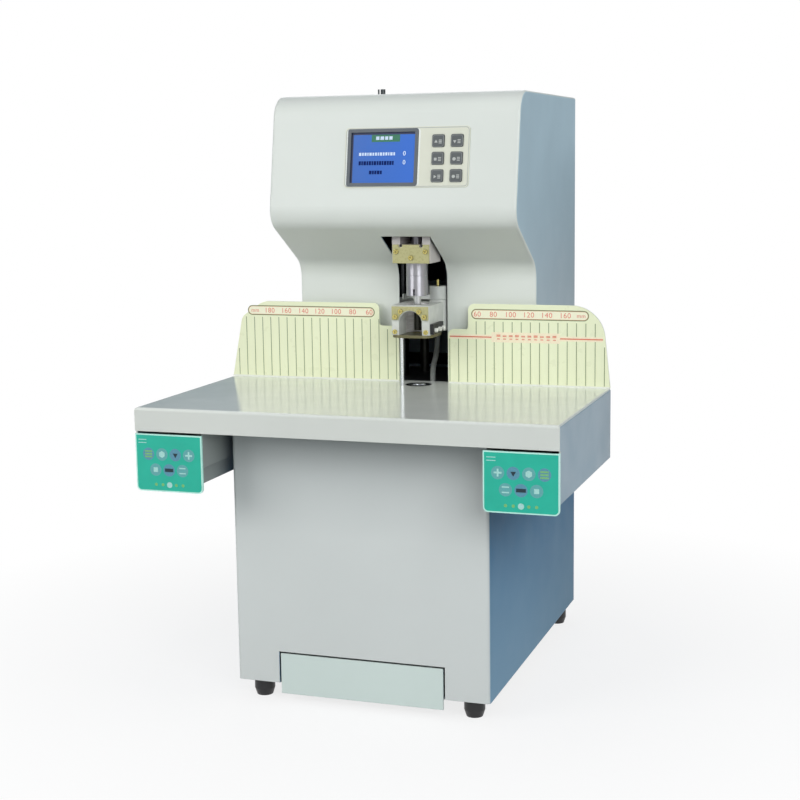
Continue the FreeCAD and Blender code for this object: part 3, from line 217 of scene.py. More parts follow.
def paint(
    name, front, side=None, top=None, gloss=0.34, top_gloss=None, peel=0.55, edge=0.0, specular=0.5,
    coat=0.0, side_shading_high=None, side_shading_span=(0.02, 0.23), rear_shade=0.80, under_table_shade_from=0.0,
):
    """Powder coat with a fine orange peel, specks and edges paler with wear and a painted highlight, in other
    colours on its sides and top.

    The side colour carries a painted shade that deepens towards the rear, and goes over to side_shading_high
    across the heights of side_shading_span, a painted light or shade by height.
    A coat lies on the faces that look up, and makes them as smooth as top_gloss.
    From the height under_table_shade_from up to the table a painted shade darkens the paint."""
    s = Shader(name, roughness=gloss, specular=specular)
    if coat:
        s.surface.inputs["Coat Roughness"].default_value = COAT_GLOSS
        upward = s.facing("Z", *LOOKS_UP)
        s.fill(s.surface.inputs["Coat Weight"], s.math("MULTIPLY", upward, coat))
    cloud = s.spread(s.noise(9.0, 2.0), 0.0, 1.0)
    colour = s.mix(cloud, shade(front, 0.985), shade(front, 1.015))
    if side:
        # Painted shade along the sides: lighter in front, darker towards the rear
        rear = s.spread(s.axis(s.object, "Y"), 0.0, 1.0, *SIDE_DEPTH)
        side_shaded = s.mix(rear, shade(side, FRONT_SHADE), shade(side, rear_shade))
        # Painted light and shade by height on the sides
        if side_shading_high:
            side_shaded = s.mix(s.spread(s.axis(s.object, "Z"), 0.0, 1.0, *side_shading_span), side_shaded, side_shading_high)
        clouded = s.mix(s.math("MULTIPLY", cloud, 0.4), side_shaded, shade(side, 0.96))
        colour = s.mix(s.facing("X", *LOOKS_ASIDE), colour, clouded)
    if top:
        clouded = s.mix(cloud, shade(top, 0.98), shade(top, 1.02))
        colour = s.mix(s.facing("Z", *LOOKS_UP), colour, clouded)
    speck = s.spread(s.noise(2600.0, 2.0), 0.0, 1.0, 0.62, 0.70)
    colour = s.mix(s.math("MULTIPLY", speck, 0.05), colour, shade(front, 0.6))
    # Painted shade under the table, growing up to the table's height
    if under_table_shade_from:
        darkening = s.spread(s.axis(s.object, "Z"), 0.0, UNDER_TABLE_SHADE_SHARE, under_table_shade_from, TABLE_Z)
        colour = s.mix(darkening, colour, UNDER_TABLE_SHADE_TONE)
    normal = None
    # Edges paler with wear and with a painted highlight
    if edge:
        normal, near = s.rounded(edge)
        wear_and_highlight = s.math("MULTIPLY", near, s.spread(s.noise(70.0, 4.0), 0.10, 0.45))
        colour = s.mix(wear_and_highlight, colour, shade(front, 1.18))
    s.colour(colour)
    rough = s.spread(s.noise(30.0, 4.0), gloss - 0.03, gloss + 0.04)
    if coat:
        rough = s.math("SUBTRACT", rough, s.math("MULTIPLY", upward, gloss - top_gloss))
    s.roughness(rough)
    s.bump(s.noise(1300.0, 3.0, 0.55), 0.00005, peel, normal)
    return s.material


def plastic(name, colour, gloss=0.45, grain=1800.0, depth=0.00003, vary=0.05, edge=0.0):
    """Moulded plastic with a fine grain, a slightly uneven tone and, with an edge radius, a painted highlight
    along its edges.
    """
    s = Shader(name, roughness=gloss)
    tone = s.spread(s.noise(60.0, 3.0), 0.0, 1.0)
    result = s.mix(tone, shade(colour, 1 - vary), shade(colour, 1 + vary))
    normal = None
    # Painted highlight along edges
    if edge:
        normal, near = s.rounded(edge)
        result = s.mix(s.math("MULTIPLY", near, 0.35), result, shade(colour, 2.0))
    s.colour(result)
    s.roughness(s.spread(s.noise(220.0, 3.0), gloss - 0.06, gloss + 0.08))
    s.bump(s.noise(grain, 2.0), depth, 0.5, normal)
    return s.material


def metal(
    name, colour, gloss=0.25, brush=(1, 1, 1), scale=500.0, depth=0.00002, vary=0.08, stain=None, share=1.0,
    turned=0.0, recess_shade=0.0, edge=0.0,
):
    """Metal with brush marks that run where the stretch is small, duller stained places, painted shade in its
    recesses and a painted highlight along its edges.
    """
    s = Shader(name, roughness=gloss, metallic=share)
    marks = s.noise(scale, 4.0, 0.6, brush)
    result = s.mix(s.spread(marks, 0.0, 1.0), shade(colour, 1 - vary), shade(colour, 1 + vary))
    if stain:
        darkening = s.spread(s.noise(420.0, 5.0, 0.65), 0.0, 0.6, 0.50, 0.75)
        result = s.mix(darkening, result, stain)
    # Painted shade in recesses
    if recess_shade:
        result = s.mix(s.crevice(recess_shade), shade(colour, 0.04), result)
    normal = None
    # Painted highlight along edges
    if edge:
        normal, near = s.rounded(edge)
        result = s.mix(s.math("MULTIPLY", near, 0.5), result, shade(colour, 1.5))
    s.colour(result)
    s.roughness(s.spread(marks, max(0.03, gloss - 0.08), gloss + 0.12))
    s.bump(marks, depth, 0.35, normal)
    if turned:
        s.surface.inputs["Anisotropic"].default_value = turned
        s.surface.inputs["Anisotropic Rotation"].default_value = 0.25
        round_it = s.add("ShaderNodeTangent", direction_type="RADIAL", axis="Z")
        s.link(round_it.outputs["Tangent"], s.surface.inputs["Tangent"])
    return s.material


def rubber(name, colour, gloss=0.6):
    s = Shader(name, roughness=gloss)
    s.colour(s.mix(s.spread(s.noise(400.0, 3.0), 0.0, 1.0), shade(colour, 0.8), shade(colour, 1.3)))
    s.roughness(s.spread(s.noise(700.0, 3.0), gloss - 0.08, gloss + 0.1))
    s.bump(s.noise(1500.0, 3.0), 0.00006, 0.6)
    return s.material


def ink(name, colour, gloss=0.4, uneven=0.06, specular=0.5):
    """Printed colour, a little uneven."""
    s = Shader(name, roughness=gloss, specular=specular)
    tone = s.spread(s.noise(900.0, 2.0), 0.0, 1.0)
    s.colour(s.mix(tone, shade(colour, 1 - uneven), shade(colour, 1 + uneven)))
    s.roughness(s.spread(s.noise(500.0, 2.0), gloss - 0.05, gloss + 0.05))
    s.bump(s.noise(1800.0, 2.0), 0.00001, 0.4)
    return s.material


def gauge_sheet():
    """Yellow sheet, paler at its cut edges, with a soft gloss."""
    s = Shader("gauge_plate_face", roughness=0.3)
    face = srgb(235, 239, 204)
    tone = s.mix(s.spread(s.noise(25.0, 3.0), 0.0, 1.0), shade(face, 0.985), shade(face, 1.015))
    s.colour(s.mix(s.facing("Y", 0.4, 0.9), srgb(238, 242, 222), tone))
    s.roughness(s.spread(s.noise(60.0, 3.0), 0.26, 0.34))
    s.bump(s.noise(700.0, 2.0), 0.00001, 0.5)
    return s.material


def block_casting():
    """Light grey casting whose arch is turned bright round the punch axis."""
    s = Shader("press_block_casting", roughness=0.42)
    aside = s.math("ADD", s.axis(s.object, "X"), -PUNCH_X)
    depth = s.axis(s.object, "Y")
    squares = s.math("ADD", s.math("MULTIPLY", aside, aside), s.math("MULTIPLY", depth, depth))
    span = s.math("SQRT", squares)
    turned = s.spread(span, 1.0, 0.0, ARCH_RADIUS, ARCH_RADIUS + 0.0001)
    cloud = s.spread(s.noise(90.0, 4.0), 0.0, 1.0)
    rough = s.mix(cloud, srgb(196, 198, 192), srgb(212, 214, 208))
    rings = s.spread(s.noise(900.0, 3.0, 0.5, (0.05, 0.05, 1)), 0.0, 1.0)
    s.colour(s.mix(turned, rough, s.mix(rings, srgb(212, 209, 206), srgb(244, 242, 240))))
    s.fill(s.surface.inputs["Metallic"], s.spread(turned, 0.0, 0.2, 0.0, 1.0))
    s.roughness(s.spread(turned, 0.44, 0.32, 0.0, 1.0))
    normal = s.rounded(SHEET_EDGE)[0]
    s.bump(s.noise(1500.0, 3.0), 0.00005, 0.6, normal)
    return s.material


def bit_steel():
    """Hollow drill bit: a bright shank and a blued cutting tube."""
    s = Shader("drill_bit_steel", roughness=0.34, metallic=0.9)
    marks = s.noise(700.0, 3.0, 0.6, (1, 1, 8))
    tone = s.spread(marks, 0.0, 1.0)
    shank = s.spread(s.axis(s.object, "Z"), 0.0, 1.0, SHANK_Z, SHANK_Z + 0.0002)
    blued = s.mix(tone, srgb(44, 44, 40), srgb(64, 64, 58))
    s.colour(s.mix(shank, blued, s.mix(tone, srgb(190, 190, 188), srgb(214, 214, 212))))
    s.roughness(s.spread(marks, 0.26, 0.42))
    s.bump(marks, 0.00002, 0.35)
    return s.material


def connector_plastic():
    """Black holder whose plugs are white nylon."""
    s = Shader("connector_plastic", roughness=0.45)
    plug = s.spread(s.axis(s.object, "X"), 0.0, 1.0, HOLDER_X, HOLDER_X + 0.0001)
    tone = s.spread(s.noise(300.0, 3.0), 0.0, 1.0)
    black = s.mix(tone, srgb(8, 8, 8), srgb(16, 16, 16))
    white = s.mix(tone, srgb(226, 226, 218), srgb(242, 241, 234))
    s.colour(s.mix(plug, black, white))
    s.roughness(s.spread(tone, 0.38, 0.5, 0.0, 1.0))
    s.bump(s.noise(1500.0, 2.0), 0.00003, 0.5)
    return s.material


def cable_jacket():
    """Grey jacket, dark towards its upper end and lighter towards its lower end."""
    s = Shader("cable_jacket", roughness=0.5)
    tone = s.spread(s.noise(500.0, 3.0), 0.0, 1.0)
    dark = s.mix(tone, srgb(34, 36, 34), srgb(46, 48, 46))
    lower_tone = s.mix(tone, srgb(104, 106, 104), srgb(124, 126, 122))
    s.colour(s.mix(s.spread(s.axis(s.object, "Z"), 1.0, 0.0, 0.318, 0.350), dark, lower_tone))
    s.roughness(s.spread(tone, 0.42, 0.58, 0.0, 1.0))
    s.bump(s.noise(1600.0, 2.0), 0.00003, 0.5)
    return s.material


def filter_foam():
    """Open black foam behind the vents."""
    s = Shader("filter_foam", roughness=0.9, specular=0.2)
    cells = s.add("ShaderNodeTexVoronoi")
    cells.inputs["Scale"].default_value = 900.0
    s.link(s.object, cells.inputs["Vector"])
    pit = s.spread(cells.outputs["Distance"], 0.0, 1.0, 0.1, 0.6)
    s.colour(s.mix(pit, srgb(8, 8, 9), srgb(34, 35, 37)))
    s.roughness(s.spread(pit, 0.95, 0.8, 0.0, 1.0))
    s.bump(pit, 0.0003, 0.8)
    return s.material


OFF_WHITE = srgb(220, 224, 217)
SIDE_BLUE = srgb(154, 177, 188)
# Painted light: the head sides go over to this paler tone from the throat up
SIDE_PAINTED_LIGHT = srgb(192, 216, 227)
TABLE_BLUE = srgb(116, 144, 160)
CABINET_BLUE = srgb(127, 162, 186)
# Painted shade: the cabinet sides go over to this deep blue up towards the table
CABINET_PAINTED_SHADE = srgb(44, 102, 143)
# Painted shade: the head's top darker than its front
HEAD_TOP_PAINTED_SHADE = srgb(206, 210, 205)


def head_paint(name):
    """Off-white in front, with a painted shade that makes it a little darker on top, and blue on the sides,
    with a painted light that makes them paler from the throat up and a painted shade that darkens them
    towards the rear.
    """
    return paint(
        name, OFF_WHITE, SIDE_BLUE, HEAD_TOP_PAINTED_SHADE, gloss=0.38, edge=SHEET_EDGE,
        side_shading_high=SIDE_PAINTED_LIGHT, side_shading_span=(0.42, 0.59),
    )


m = {
    "front": head_paint("front_paint"),
    # Cabinet: painted shade deepens its sides up towards the table, and painted shade darkens its paint just
    # under the table
    "cabinet": paint(
        "cabinet_paint", srgb(215, 219, 216), CABINET_BLUE, gloss=0.42, edge=SHEET_EDGE, specular=0.02,
        side_shading_high=CABINET_PAINTED_SHADE, under_table_shade_from=0.18,
    ),
    "side": head_paint("side_paint"),
    "rear": paint("rear_paint", srgb(176, 192, 202), gloss=0.4, edge=SHEET_EDGE),
    # Table: its side skirts carry painted shade, darker towards the rear and towards their lower edge
    "table": paint(
        "table_paint", srgb(214, 217, 210), TABLE_BLUE, srgb(226, 229, 223), gloss=0.36, top_gloss=0.14,
        peel=0.05, edge=SHEET_EDGE, coat=0.25, side_shading_high=srgb(128, 154, 168), side_shading_span=(0.25, 0.45),
        rear_shade=0.3,
    ),
    "grey_sheet": paint("grey_sheet_paint", srgb(150, 156, 153), gloss=0.4, edge=0.0004),
    "scrap": paint("scrap_front_paint", srgb(213, 226, 220), gloss=0.35, edge=0.0006),
    "gauge": gauge_sheet(),
    "teal_rim": plastic("drawer_rim", srgb(194, 244, 230), gloss=0.3, grain=900.0, depth=0.00001, vary=0.03),
    "teal": plastic(
        "drawer_teal_print", srgb(30, 180, 154), gloss=0.40, grain=900.0, depth=0.00001, vary=0.04
    ),
    "rubber": rubber("black_rubber", srgb(24, 24, 26), gloss=0.38),
    "belt": rubber("belt_rubber", srgb(30, 30, 30), gloss=0.7),
    "cable": cable_jacket(),
    "zinc": metal("zinc_plate", srgb(120, 122, 124), gloss=0.38, brush=(1, 12, 1)),
    "chrome": metal(
        "turned_steel", srgb(184, 182, 188), gloss=0.36, brush=(1, 1, 14), vary=0.05, turned=1.0, edge=0.0004
    ),
    "rod": metal("plated_rod", srgb(224, 226, 228), gloss=0.26, brush=(1, 1, 14), vary=0.03),
    "die": metal("die_steel", srgb(170, 172, 175), gloss=0.2, brush=(6, 1, 1), scale=900.0),
    "pad": metal("cutting_pad_steel", srgb(226, 228, 230), gloss=0.28, scale=900.0),
    "dark": metal("blued_steel", srgb(58, 58, 54), gloss=0.36, vary=0.15, share=0.8),
    "foot": metal(
        "foot_plate_steel", srgb(116, 112, 84), gloss=0.34, brush=(8, 1, 1), vary=0.1, share=0.8,
        edge=SHEET_EDGE,
    ),
    "column": metal("column_steel", srgb(70, 72, 73), gloss=0.24, brush=(1, 1, 14)),
    "brass": metal(
        "plated_brass", srgb(184, 180, 134), gloss=0.36, brush=(8, 1, 1), vary=0.10, stain=srgb(142, 138, 88),
        share=0.8, recess_shade=0.0016, edge=SHEET_EDGE,
    ),
    "screw": metal("plated_screws", srgb(206, 192, 120), gloss=0.24, scale=900.0, recess_shade=0.0014, edge=0.0004),
    "block": block_casting(),
    "cast": paint("cast_grey", srgb(198, 201, 196), gloss=0.42, edge=SHEET_EDGE),
    "bracket": paint("bracket_grey", srgb(212, 206, 202), gloss=0.42, edge=SHEET_EDGE),
    "bit": bit_steel(),
    "membrane": plastic("membrane_face", srgb(219, 220, 203), gloss=0.42, grain=1500.0, vary=0.01),
    "bezel": plastic("screen_bezel", srgb(88, 94, 100), gloss=0.42, edge=SHEET_EDGE),
    "key": plastic("key_plastic", srgb(82, 86, 87), gloss=0.42, edge=0.0006),
    "board": plastic("circuit_board", srgb(28, 84, 52), gloss=0.35),
    "black": plastic("black_plastic", srgb(30, 30, 32), gloss=0.42),
    "plug": connector_plastic(),
    "motor": paint("motor_paint", srgb(30, 31, 33), gloss=0.4),
    "inner": paint("frame_paint", srgb(24, 25, 26), gloss=0.5),
    "foam": filter_foam(),
}

NODE_FINISH = {
    "base_plate": "zinc",
    "rubber_feet": "rubber",
    "cabinet_shell": "cabinet",
    "cabinet_rear_cover": "rear",
    "frame_side_plates": "inner",
    "bed_plate": "inner",
    "table_top": "table",
    "left_gauge_plate": "gauge",
    "right_gauge_plate": "gauge",
    "front_cover": "front",
    "left_side_cover": "side",
    "right_side_cover": "side",
    "head_rear_cover": "rear",
    "keypad_panel": "membrane",
    "lcd_module": "bezel",
    "panel_board": "board",
    "head_top_plate": "inner",
    "guide_columns": "column",
    "press_lift_motor": "motor",
    "press_lead_screw": "dark",
    "die_ring": "die",
    "cutting_pad": "pad",
    "lower_anvil": "dark",
    "anvil_actuator": "motor",
    "drawer_runners": "grey_sheet",
    "left_drawer_tray": "grey_sheet",
    "right_drawer_tray": "grey_sheet",
    "left_drawer_front": "teal_rim",
    "right_drawer_front": "teal_rim",
    "scrap_drawer_tray": "grey_sheet",
    "scrap_drawer_front": "scrap",
    "press_block": "block",
    "press_brass_plate": "brass",
    "press_foot_plate": "foot",
    "press_guide_rod": "rod",
    "press_fasteners": "screw",
    "terminal_block": "plug",
    "throat_cable": "cable",
    "drill_lift_motor": "motor",
    "drill_lead_screw": "dark",
    "feed_arm": "cast",
    "drill_bracket": "bracket",
    "drill_brass_plate": "brass",
    "drill_plate_screws": "screw",
    "spindle": "chrome",
    "drill_bit": "bit",
    "spindle_pulley": "zinc",
    "drive_belt": "belt",
    "drill_motor": "motor",
    "motor_pulley": "zinc",
    "feed_tube": "column",
    "power_inlet": "black",
    "power_switch": "black",
    "power_supply": "zinc",
}

for name, finish in NODE_FINISH.items():
    for slot in nodes[name].material_slots:
        slot.material = m[finish]
for number in range(1, 7):
    for slot in nodes["key_%d" % number].material_slots:
        slot.material = m["key"]


def new_piece(name, mesh, material, body):
    """An object from a finished mesh, riding on a body, with the given material if the mesh has none."""
    piece = bpy.data.objects.new(name, mesh)
    bpy.context.scene.collection.objects.link(piece)
    if not mesh.materials:
        mesh.materials.append(material)
    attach(piece, body)
    return piece


def flat_mesh(name, loops, thickness):
    """Thin plates in the XY plane from closed outlines, with their face at the top."""
    mesh = bpy.data.meshes.new(name)
    build = bmesh.new()
    for loop in loops:
        low = [build.verts.new((x, y, 0.0)) for x, y in loop]
        high = [build.verts.new((x, y, thickness)) for x, y in loop]
        build.faces.new(high)
        build.faces.new(low[::-1])
        for index in range(len(loop)):
            after = (index + 1) % len(loop)
            build.faces.new((low[index], low[after], high[after], high[index]))
    bmesh.ops.recalc_face_normals(build, faces=build.faces)
    build.to_mesh(mesh)
    build.free()
    return mesh


def ribbon_mesh(name, pairs, thickness):
    """Thin closed bands, each between two outlines with as many points."""
    mesh = bpy.data.meshes.new(name)
    build = bmesh.new()
    for outer, inner in pairs:
        rings = []
        for loop in (outer, inner):
            for z in (0.0, thickness):
                rings.append([build.verts.new((x, y, z)) for x, y in loop])
        outer_low, outer_high, inner_low, inner_high = rings
        for index in range(len(outer)):
            after = (index + 1) % len(outer)
            for first, second in (
                (outer_low, outer_high),
                (outer_high, inner_high),
                (inner_high, inner_low),
                (inner_low, outer_low),
            ):
                build.faces.new((first[index], first[after], second[after], second[index]))
    bmesh.ops.recalc_face_normals(build, faces=build.faces)
    build.to_mesh(mesh)
    build.free()
    return mesh


def rectangle(x0, x1, y0, y1):
    return [(x0, y0), (x1, y0), (x1, y1), (x0, y1)]


def middle_rectangle(x, y, width, height):
    return rectangle(x - width / 2, x + width / 2, y - height / 2, y + height / 2)


def rounded_rectangle(x0, x1, y0, y1, low_radius, high_radius=None, steps=6):
    """Outline of a rectangle with round corners, anticlockwise, the upper ones with a radius of their own."""
    if high_radius is None:
        high_radius = low_radius
    corners = (
        (x1 - low_radius, y0 + low_radius, low_radius, -90),
        (x1 - high_radius, y1 - high_radius, high_radius, 0),
        (x0 + high_radius, y1 - high_radius, high_radius, 90),
        (x0 + low_radius, y0 + low_radius, low_radius, 180),
    )
    points = []
    for x, y, radius, start in corners:
        for step in range(steps + 1):
            angle = math.radians(start + 90 * step / steps)
            points.append((x + radius * math.cos(angle), y + radius * math.sin(angle)))
    return points


def band(x0, x1, y0, y1, radius, width, steps=6):
    """Outer and inner outline of a rounded frame."""
    outer = rounded_rectangle(x0, x1, y0, y1, radius, steps=steps)
    inner = rounded_rectangle(x0 + width, x1 - width, y0 + width, y1 - width, radius - width, steps=steps)
    return outer, inner


def disc(x, y, radius, steps=32):
    return [
        (x + radius * math.cos(2 * math.pi * step / steps), y + radius * math.sin(2 * math.pi * step / steps))
        for step in range(steps)
    ]


def regular(x, y, radius, corners, start=90.0):
    """Outline of a regular polygon."""
    return [
        (
            x + radius * math.cos(math.radians(start + 360 * index / corners)),
            y + radius * math.sin(math.radians(start + 360 * index / corners)),
        )
        for index in range(corners)
    ]


def plus(x, y, reach, width):
    """Outline of a plus sign."""
    half = width / 2
    quarter = [(half, reach), (-half, reach), (-half, half), (-reach, half), (-reach, -half), (-half, -half)]
    return [(x + a, y + b) for a, b in quarter] + [(x - a, y - b) for a, b in quarter]


def text_mesh(name, words, size, thickness, spacing=1.0, bold=0.0):
    """Plain digits as a thin flat mesh, centred on the origin."""
    curve = bpy.data.curves.new(name, "FONT")
    curve.body = words
    curve.size = size
    curve.space_character = spacing
    curve.align_x = "CENTER"
    curve.align_y = "CENTER"
    curve.extrude = thickness / 2
    curve.offset = bold
    holder = bpy.data.objects.new(name, curve)
    bpy.context.scene.collection.objects.link(holder)
    bpy.context.view_layer.update()
    mesh = bpy.data.meshes.new_from_object(holder.evaluated_get(bpy.context.evaluated_depsgraph_get()))
    bpy.data.objects.remove(holder)
    mesh.materials.clear()
    return mesh


def upright(y, x=0.0, z=0.0):
    """Turns a mesh made flat to stand on a face that looks towards -Y."""
    return Matrix.Translation((x, y, z)) @ Matrix.Rotation(math.pi / 2, 4, "X")


# The head's face slopes, so what lies on it uses its own placing
NOSE = Vector((0.0, -0.0595, 0.4945))
BROW = Vector((0.0, -0.036, 0.628))
FACE_MIDDLE = (NOSE + BROW) / 2
FACE_ANGLE = math.atan2(BROW.y - NOSE.y, BROW.z - NOSE.z)


def on_face(lift=0.0):
    """Places a mesh made flat on the head's face, raised from it by a lift."""
    place = Matrix.Translation(FACE_MIDDLE) @ Matrix.Rotation(math.pi / 2 - FACE_ANGLE, 4, "X")
    return place @ Matrix.Translation((0.0, 0.0, lift))


def placed(mesh, matrix):
    mesh.transform(matrix)
    return mesh


# Gauge plates: the scale, its numbers and lines
LINE_WIDTH = 0.85 * MM
LINE_LOW = TABLE_Z + 2.0 * MM
LINE_HIGH = 384.0 * MM
line_ink = ink("scale_line_ink", srgb(132, 142, 108))
number_ink = ink("scale_number_ink", srgb(226, 126, 108))
limit_ink = ink("limit_line_ink", srgb(218, 120, 92))
dash_ink = ink("limit_dash_ink", srgb(226, 158, 132), uneven=0.15)
halo_ink = ink("scale_halo_ink", srgb(244, 232, 202))
ground_ink = ink("number_ground_ink", srgb(243, 240, 212), uneven=0.02)
capsule_ink = ink("capsule_ink", srgb(122, 134, 94))
capsule_edge_ink = ink("capsule_edge_ink", srgb(222, 162, 128))
foot_ink = ink("plate_foot_sealant", srgb(232, 234, 222), uneven=0.04)


def gauge_print(name, mesh, material):
    """A flat print, made in the XY plane, on the front face of a gauge plate."""
    new_piece(name, placed(mesh, upright(GAUGE_Y)), material, "machine_frame")


def line_x(plate, value):
    """Where the scale line of a value stands, counted from the punch axis."""
    if plate == "left":
        return (10.0 - 1.007 * value) * MM
    return PUNCH_X + (0.5 + 1.011 * value) * MM


def line_top(x, plate):
    """How high a scale line may reach at x, below the plate's rounded shoulder."""
    if plate == "left":
        if x > -40 * MM:
            return 373.0 * MM
        slope = (x + 220 * MM) / (13.2 * MM) * 69 * MM + TABLE_Z
        return min(LINE_HIGH, slope - 12 * MM) if x < -205 * MM else LINE_HIGH
    if x < 63 * MM:
        return 364.5 * MM
    if x > 210 * MM:
        return 359.0 * MM
    return LINE_HIGH


def scale_lines(plate, first, last):
    """Lines 10 mm apart, from a first to a last value."""
    loops = []
    for value in range(first, last + 1, 10):
        x = line_x(plate, value)
        loops.append(rectangle(x - LINE_WIDTH / 2, x + LINE_WIDTH / 2, LINE_LOW, line_top(x, plate)))
    name = plate + "_scale_lines"
    gauge_print(name, flat_mesh(name, loops, PRINT), line_ink)


def capsule(plate, x0, x1, z):
    """Rounded outline round the numbers, on a paler ground, with a red line inside it."""
    half = 5.6 * MM
    width = 1.0 * MM
    thin = 0.35 * MM
    steps = 12
    outer, inner = band(x0, x1, z - half, z + half, half, width, steps)
    name = plate + "_number_ground"
    gauge_print(name, flat_mesh(name, [outer], 1.5 * PRINT), ground_ink)
    name = plate + "_number_frame"
    gauge_print(name, ribbon_mesh(name, [(outer, inner)], 2 * PRINT), capsule_ink)
    edge = band(x0 + width, x1 - width, z - half + width, z + half - width, half - width, thin, steps)
    name = plate + "_number_frame_edge"
    gauge_print(name, ribbon_mesh(name, [edge], 1.9 * PRINT), capsule_edge_ink)


NUMBER_SIZE = 8.0 * MM
UNIT_SIZE = 6.2 * MM
NUMBER_SPACING = 1.08


def scale_numbers(plate, places, z):
    """The numbers of a plate and their unit, each with its middle in x."""
    for words, x in places:
        name = "%s_number_%s" % (plate, words)
        size = NUMBER_SIZE if words.isdigit() else UNIT_SIZE
        mesh = text_mesh(name, words, size, PRINT, NUMBER_SPACING)
        placed(mesh, upright(GAUGE_Y - 2.4 * PRINT, x * MM, z))
        new_piece(name, mesh, number_ink, "machine_frame")


scale_lines("left", 30, 220)
scale_lines("right", 30, 200)
capsule("left", -199.3 * MM, -45.0 * MM, 391.6 * MM)
capsule("right", 66.7 * MM, 196.8 * MM, 391.9 * MM)
LEFT_NUMBERS = (
    ("mm", -190.2),
    ("180", -172.3),
    ("160", -151.8),
    ("140", -130.9),
    ("120", -111.3),
    ("100", -91.3),
    ("80", -71.4),
    ("60", -51.6),
)
RIGHT_NUMBERS = (
    ("60", 73.5),
    ("80", 91.6),
    ("100", 110.7),
    ("120", 130.8),
    ("140", 150.7),
    ("160", 171.0),
    ("mm", 188.4),
)
scale_numbers("left", LEFT_NUMBERS, 391.4 * MM)
scale_numbers("right", RIGHT_NUMBERS, 391.7 * MM)


BEAD_HEIGHT = 1.6 * MM


def plate_foot(plate, x0, x1):
    """Thin bead of pale sealant where a gauge plate stands on the table."""
    name = plate + "_plate_bead"
    outline = rectangle(x0, x1, TABLE_Z, TABLE_Z + BEAD_HEIGHT)
    gauge_print(name, flat_mesh(name, [outline], 1.5 * PRINT), foot_ink)


plate_foot("left", -219.5 * MM, -17.3 * MM)
plate_foot("right", 40.3 * MM, 219.5 * MM)


def limit_line():
    """Red line on the right plate at the greatest stack height, with plain dashes in its middle."""
    z = 367.0 * MM
    half = 0.65 * MM
    ground_half = 2.6 * MM
    gap = (89.5 * MM, 165.5 * MM)
    ends = ((42.0 * MM, gap[0]), (gap[1], 212.0 * MM))
    ground = [rectangle(x0, x1, z - ground_half, z + ground_half) for x0, x1 in ends]
    ground.append(rectangle(*gap, z - 5.4 * MM, z + 5.6 * MM))
    gauge_print("limit_line_ground", flat_mesh("limit_line_ground", ground, 1.4 * PRINT), halo_ink)
    bars = [rectangle(x0, x1, z - half, z + half) for x0, x1 in ends]
    gauge_print("limit_line", flat_mesh("limit_line", bars, 2.2 * PRINT), limit_ink)
    dashes = []
    for index in range(10):
        x = (95.0 + index * 6.9) * MM
        tall = (2.6, 1.8, 2.2)[index % 3] * MM
        dashes.append(rectangle(x, x + 4.4 * MM, z + 0.5 * MM, z + 0.5 * MM + tall))
        dashes.append(rectangle(x + 0.6 * MM, x + 3.8 * MM, z - 2.4 * MM, z - 1.0 * MM))
    gauge_print("limit_dashes", flat_mesh("limit_dashes", dashes, 2.2 * PRINT), dash_ink)


limit_line()


# Panel: membrane outline, screen with a plain generic layout, marks on the keys
PANEL_RISE = 0.8 * MM
KEY_RISE = 2.0 * MM
SCREEN_X0 = -45.5 * MM
SCREEN_X1 = 25.5 * MM
SCREEN_HALF = 26.6 * MM


def face_piece(name, mesh, lift, material, body="machine_frame"):
    return new_piece(name, placed(mesh, on_face(lift)), material, body)


def dash_row(x0, x1, y, height, widths, gap):
    """Short blocks in a row, their widths taken in turn."""
    blocks = []
    x = x0
    index = 0
    while x + widths[index % len(widths)] <= x1:
        width = widths[index % len(widths)]
        blocks.append(rectangle(x * MM, (x + width) * MM, (y - height / 2) * MM, (y + height / 2) * MM))
        x += width + gap
        index += 1
    return blocks


